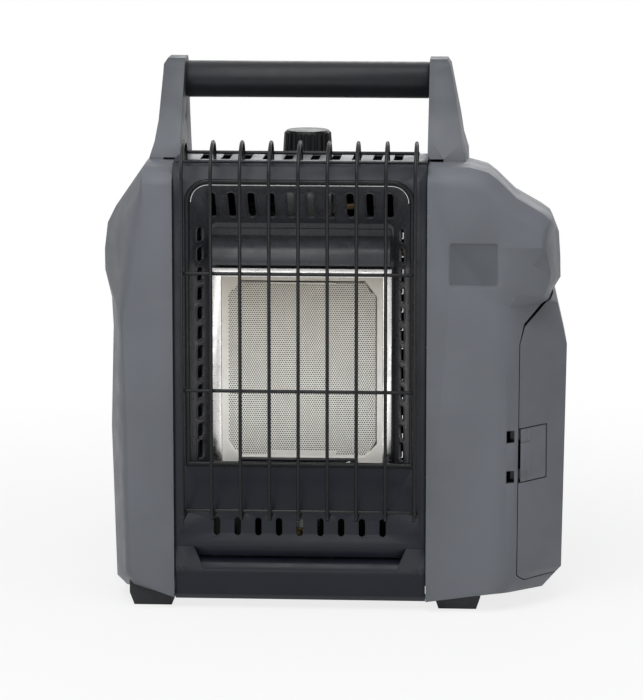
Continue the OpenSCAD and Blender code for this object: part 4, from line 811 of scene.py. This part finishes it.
def pale_surface(name, color, near, far):
    """Pale ground: camera, glossy and transmission rays see it near white, wholly so away from the
    object; its lower share of white near the object keeps the shadow."""
    surface = Surface(name, color, 0.8, specular=0.2)
    surface.mottle(color, 0.01, 3)
    reach = surface.add("ShaderNodeVectorMath", operation="LENGTH")
    surface.link(surface.place, reach.inputs[0])
    glow = surface.add("ShaderNodeMapRange", interpolation_type="SMOOTHSTEP")
    glow.inputs["From Min"].default_value, glow.inputs["To Min"].default_value = near
    glow.inputs["From Max"].default_value, glow.inputs["To Max"].default_value = far
    surface.link(reach.outputs["Value"], glow.inputs["Value"])
    share = surface.add("ShaderNodeMath", operation="MULTIPLY")
    surface.link(glow.outputs["Result"], share.inputs[1])
    surface.link(rays_that_see_white(surface.tree), share.inputs[0])
    light = surface.add("ShaderNodeEmission")
    mix = surface.add("ShaderNodeMixShader")
    surface.link(share.outputs[0], mix.inputs["Fac"])
    surface.link(surface.bsdf.outputs["BSDF"], mix.inputs[1])
    surface.link(light.outputs["Emission"], mix.inputs[2])
    surface.link(mix.outputs["Shader"], surface.tree.nodes["Material Output"].inputs["Surface"])
    return surface.material


def floor():
    bm = bmesh.new()
    bmesh.ops.create_circle(bm, cap_ends=True, segments=64, radius=FLOOR_RADIUS)
    mesh = bpy.data.meshes.new("floor")
    bm.to_mesh(mesh)
    bm.free()
    mesh.materials.append(pale_surface("pale_floor", FLOOR_COLOR, FLOOR_NEAR, FLOOR_FAR))
    obj = bpy.data.objects.new("floor", mesh)
    bpy.context.scene.collection.objects.link(obj)


def world():
    """Dim cool light on the object, white to the rays that see the background."""
    made = bpy.data.worlds.new("studio")
    made.use_nodes = True
    tree = made.node_tree
    ground = tree.nodes["Background"]
    ground.inputs["Color"].default_value = (0.93, 0.96, 1.0, 1)
    ground.inputs["Strength"].default_value = 0.2
    white = tree.nodes.new("ShaderNodeBackground")
    white.inputs["Color"].default_value = (1, 1, 1, 1)
    white.inputs["Strength"].default_value = 1.0
    mix = tree.nodes.new("ShaderNodeMixShader")
    tree.links.new(rays_that_see_white(tree), mix.inputs["Fac"])
    tree.links.new(ground.outputs["Background"], mix.inputs[1])
    tree.links.new(white.outputs["Background"], mix.inputs[2])
    tree.links.new(mix.outputs["Shader"], tree.nodes["World Output"].inputs["Surface"])
    bpy.context.scene.world = made


def area_light(name, place, target, width, height, power):
    data = bpy.data.lights.new(name, "AREA")
    data.shape = "RECTANGLE"
    data.size = width
    data.size_y = height
    data.energy = power
    obj = bpy.data.objects.new(name, data)
    obj.location = place
    obj.rotation_euler = (Vector(target) - Vector(place)).to_track_quat("-Z", "Y").to_euler()
    obj.visible_camera = False
    bpy.context.scene.collection.objects.link(obj)


MIDDLE, LOW_MIDDLE = (0, 0, 0.2), (0, 0, 0.12)
LAMPS = (  # name, place, what it points at, width, height and watts
    ("key", (-0.25, -0.8, 1.0), MIDDLE, 0.7, 0.7, 5.2),
    ("fill", (1.7, -1.3, 0.8), MIDDLE, 1.0, 1.4, 4),
    ("top", (0, -0.6, 1.9), MIDDLE, 1.6, 1.0, 16),
    ("rear", (0.3, 2.0, 1.2), MIDDLE, 1.4, 1.0, 10),
    ("low_card", (-0.1, -0.95, 0.06), LOW_MIDDLE, 0.9, 0.3, 2.0),
)

CAMERA_TARGET = Vector((-0.0103, -0.033, 0.1807))
CAMERA_AZIMUTH = math.radians(3.5)
CAMERA_ELEVATION = math.radians(9.8)
CAMERA_DISTANCE = 2.7
FOCAL_PIXELS = 3750
LONG_SIDE = 700
SENSOR = 36


def camera():
    a, e = CAMERA_AZIMUTH, CAMERA_ELEVATION
    back = Vector((math.sin(a) * math.cos(e), -math.cos(a) * math.cos(e), math.sin(e)))
    data = bpy.data.cameras.new("camera")
    data.sensor_width = SENSOR
    data.lens = FOCAL_PIXELS * SENSOR / LONG_SIDE
    obj = bpy.data.objects.new("camera", data)
    obj.location = CAMERA_TARGET + back * CAMERA_DISTANCE
    obj.rotation_euler = (-back).to_track_quat("-Z", "Y").to_euler()
    bpy.context.scene.collection.objects.link(obj)
    bpy.context.scene.camera = obj


# ---- the scene ----

bpy.context.scene.view_settings.view_transform = "Standard"
camera()
world()
for lamp in LAMPS:
    area_light(*lamp)
floor()
dress_cad()
ceramic_tile()
weld_beads()
slot_rims()
window_edge()
detailed_screws("back_panel_screws", Y, 1.8 * MM)
detailed_screws("deck_screws", Z, 1.5 * MM)
detailed_screws("foot_screws", -Z, 1.8 * MM)
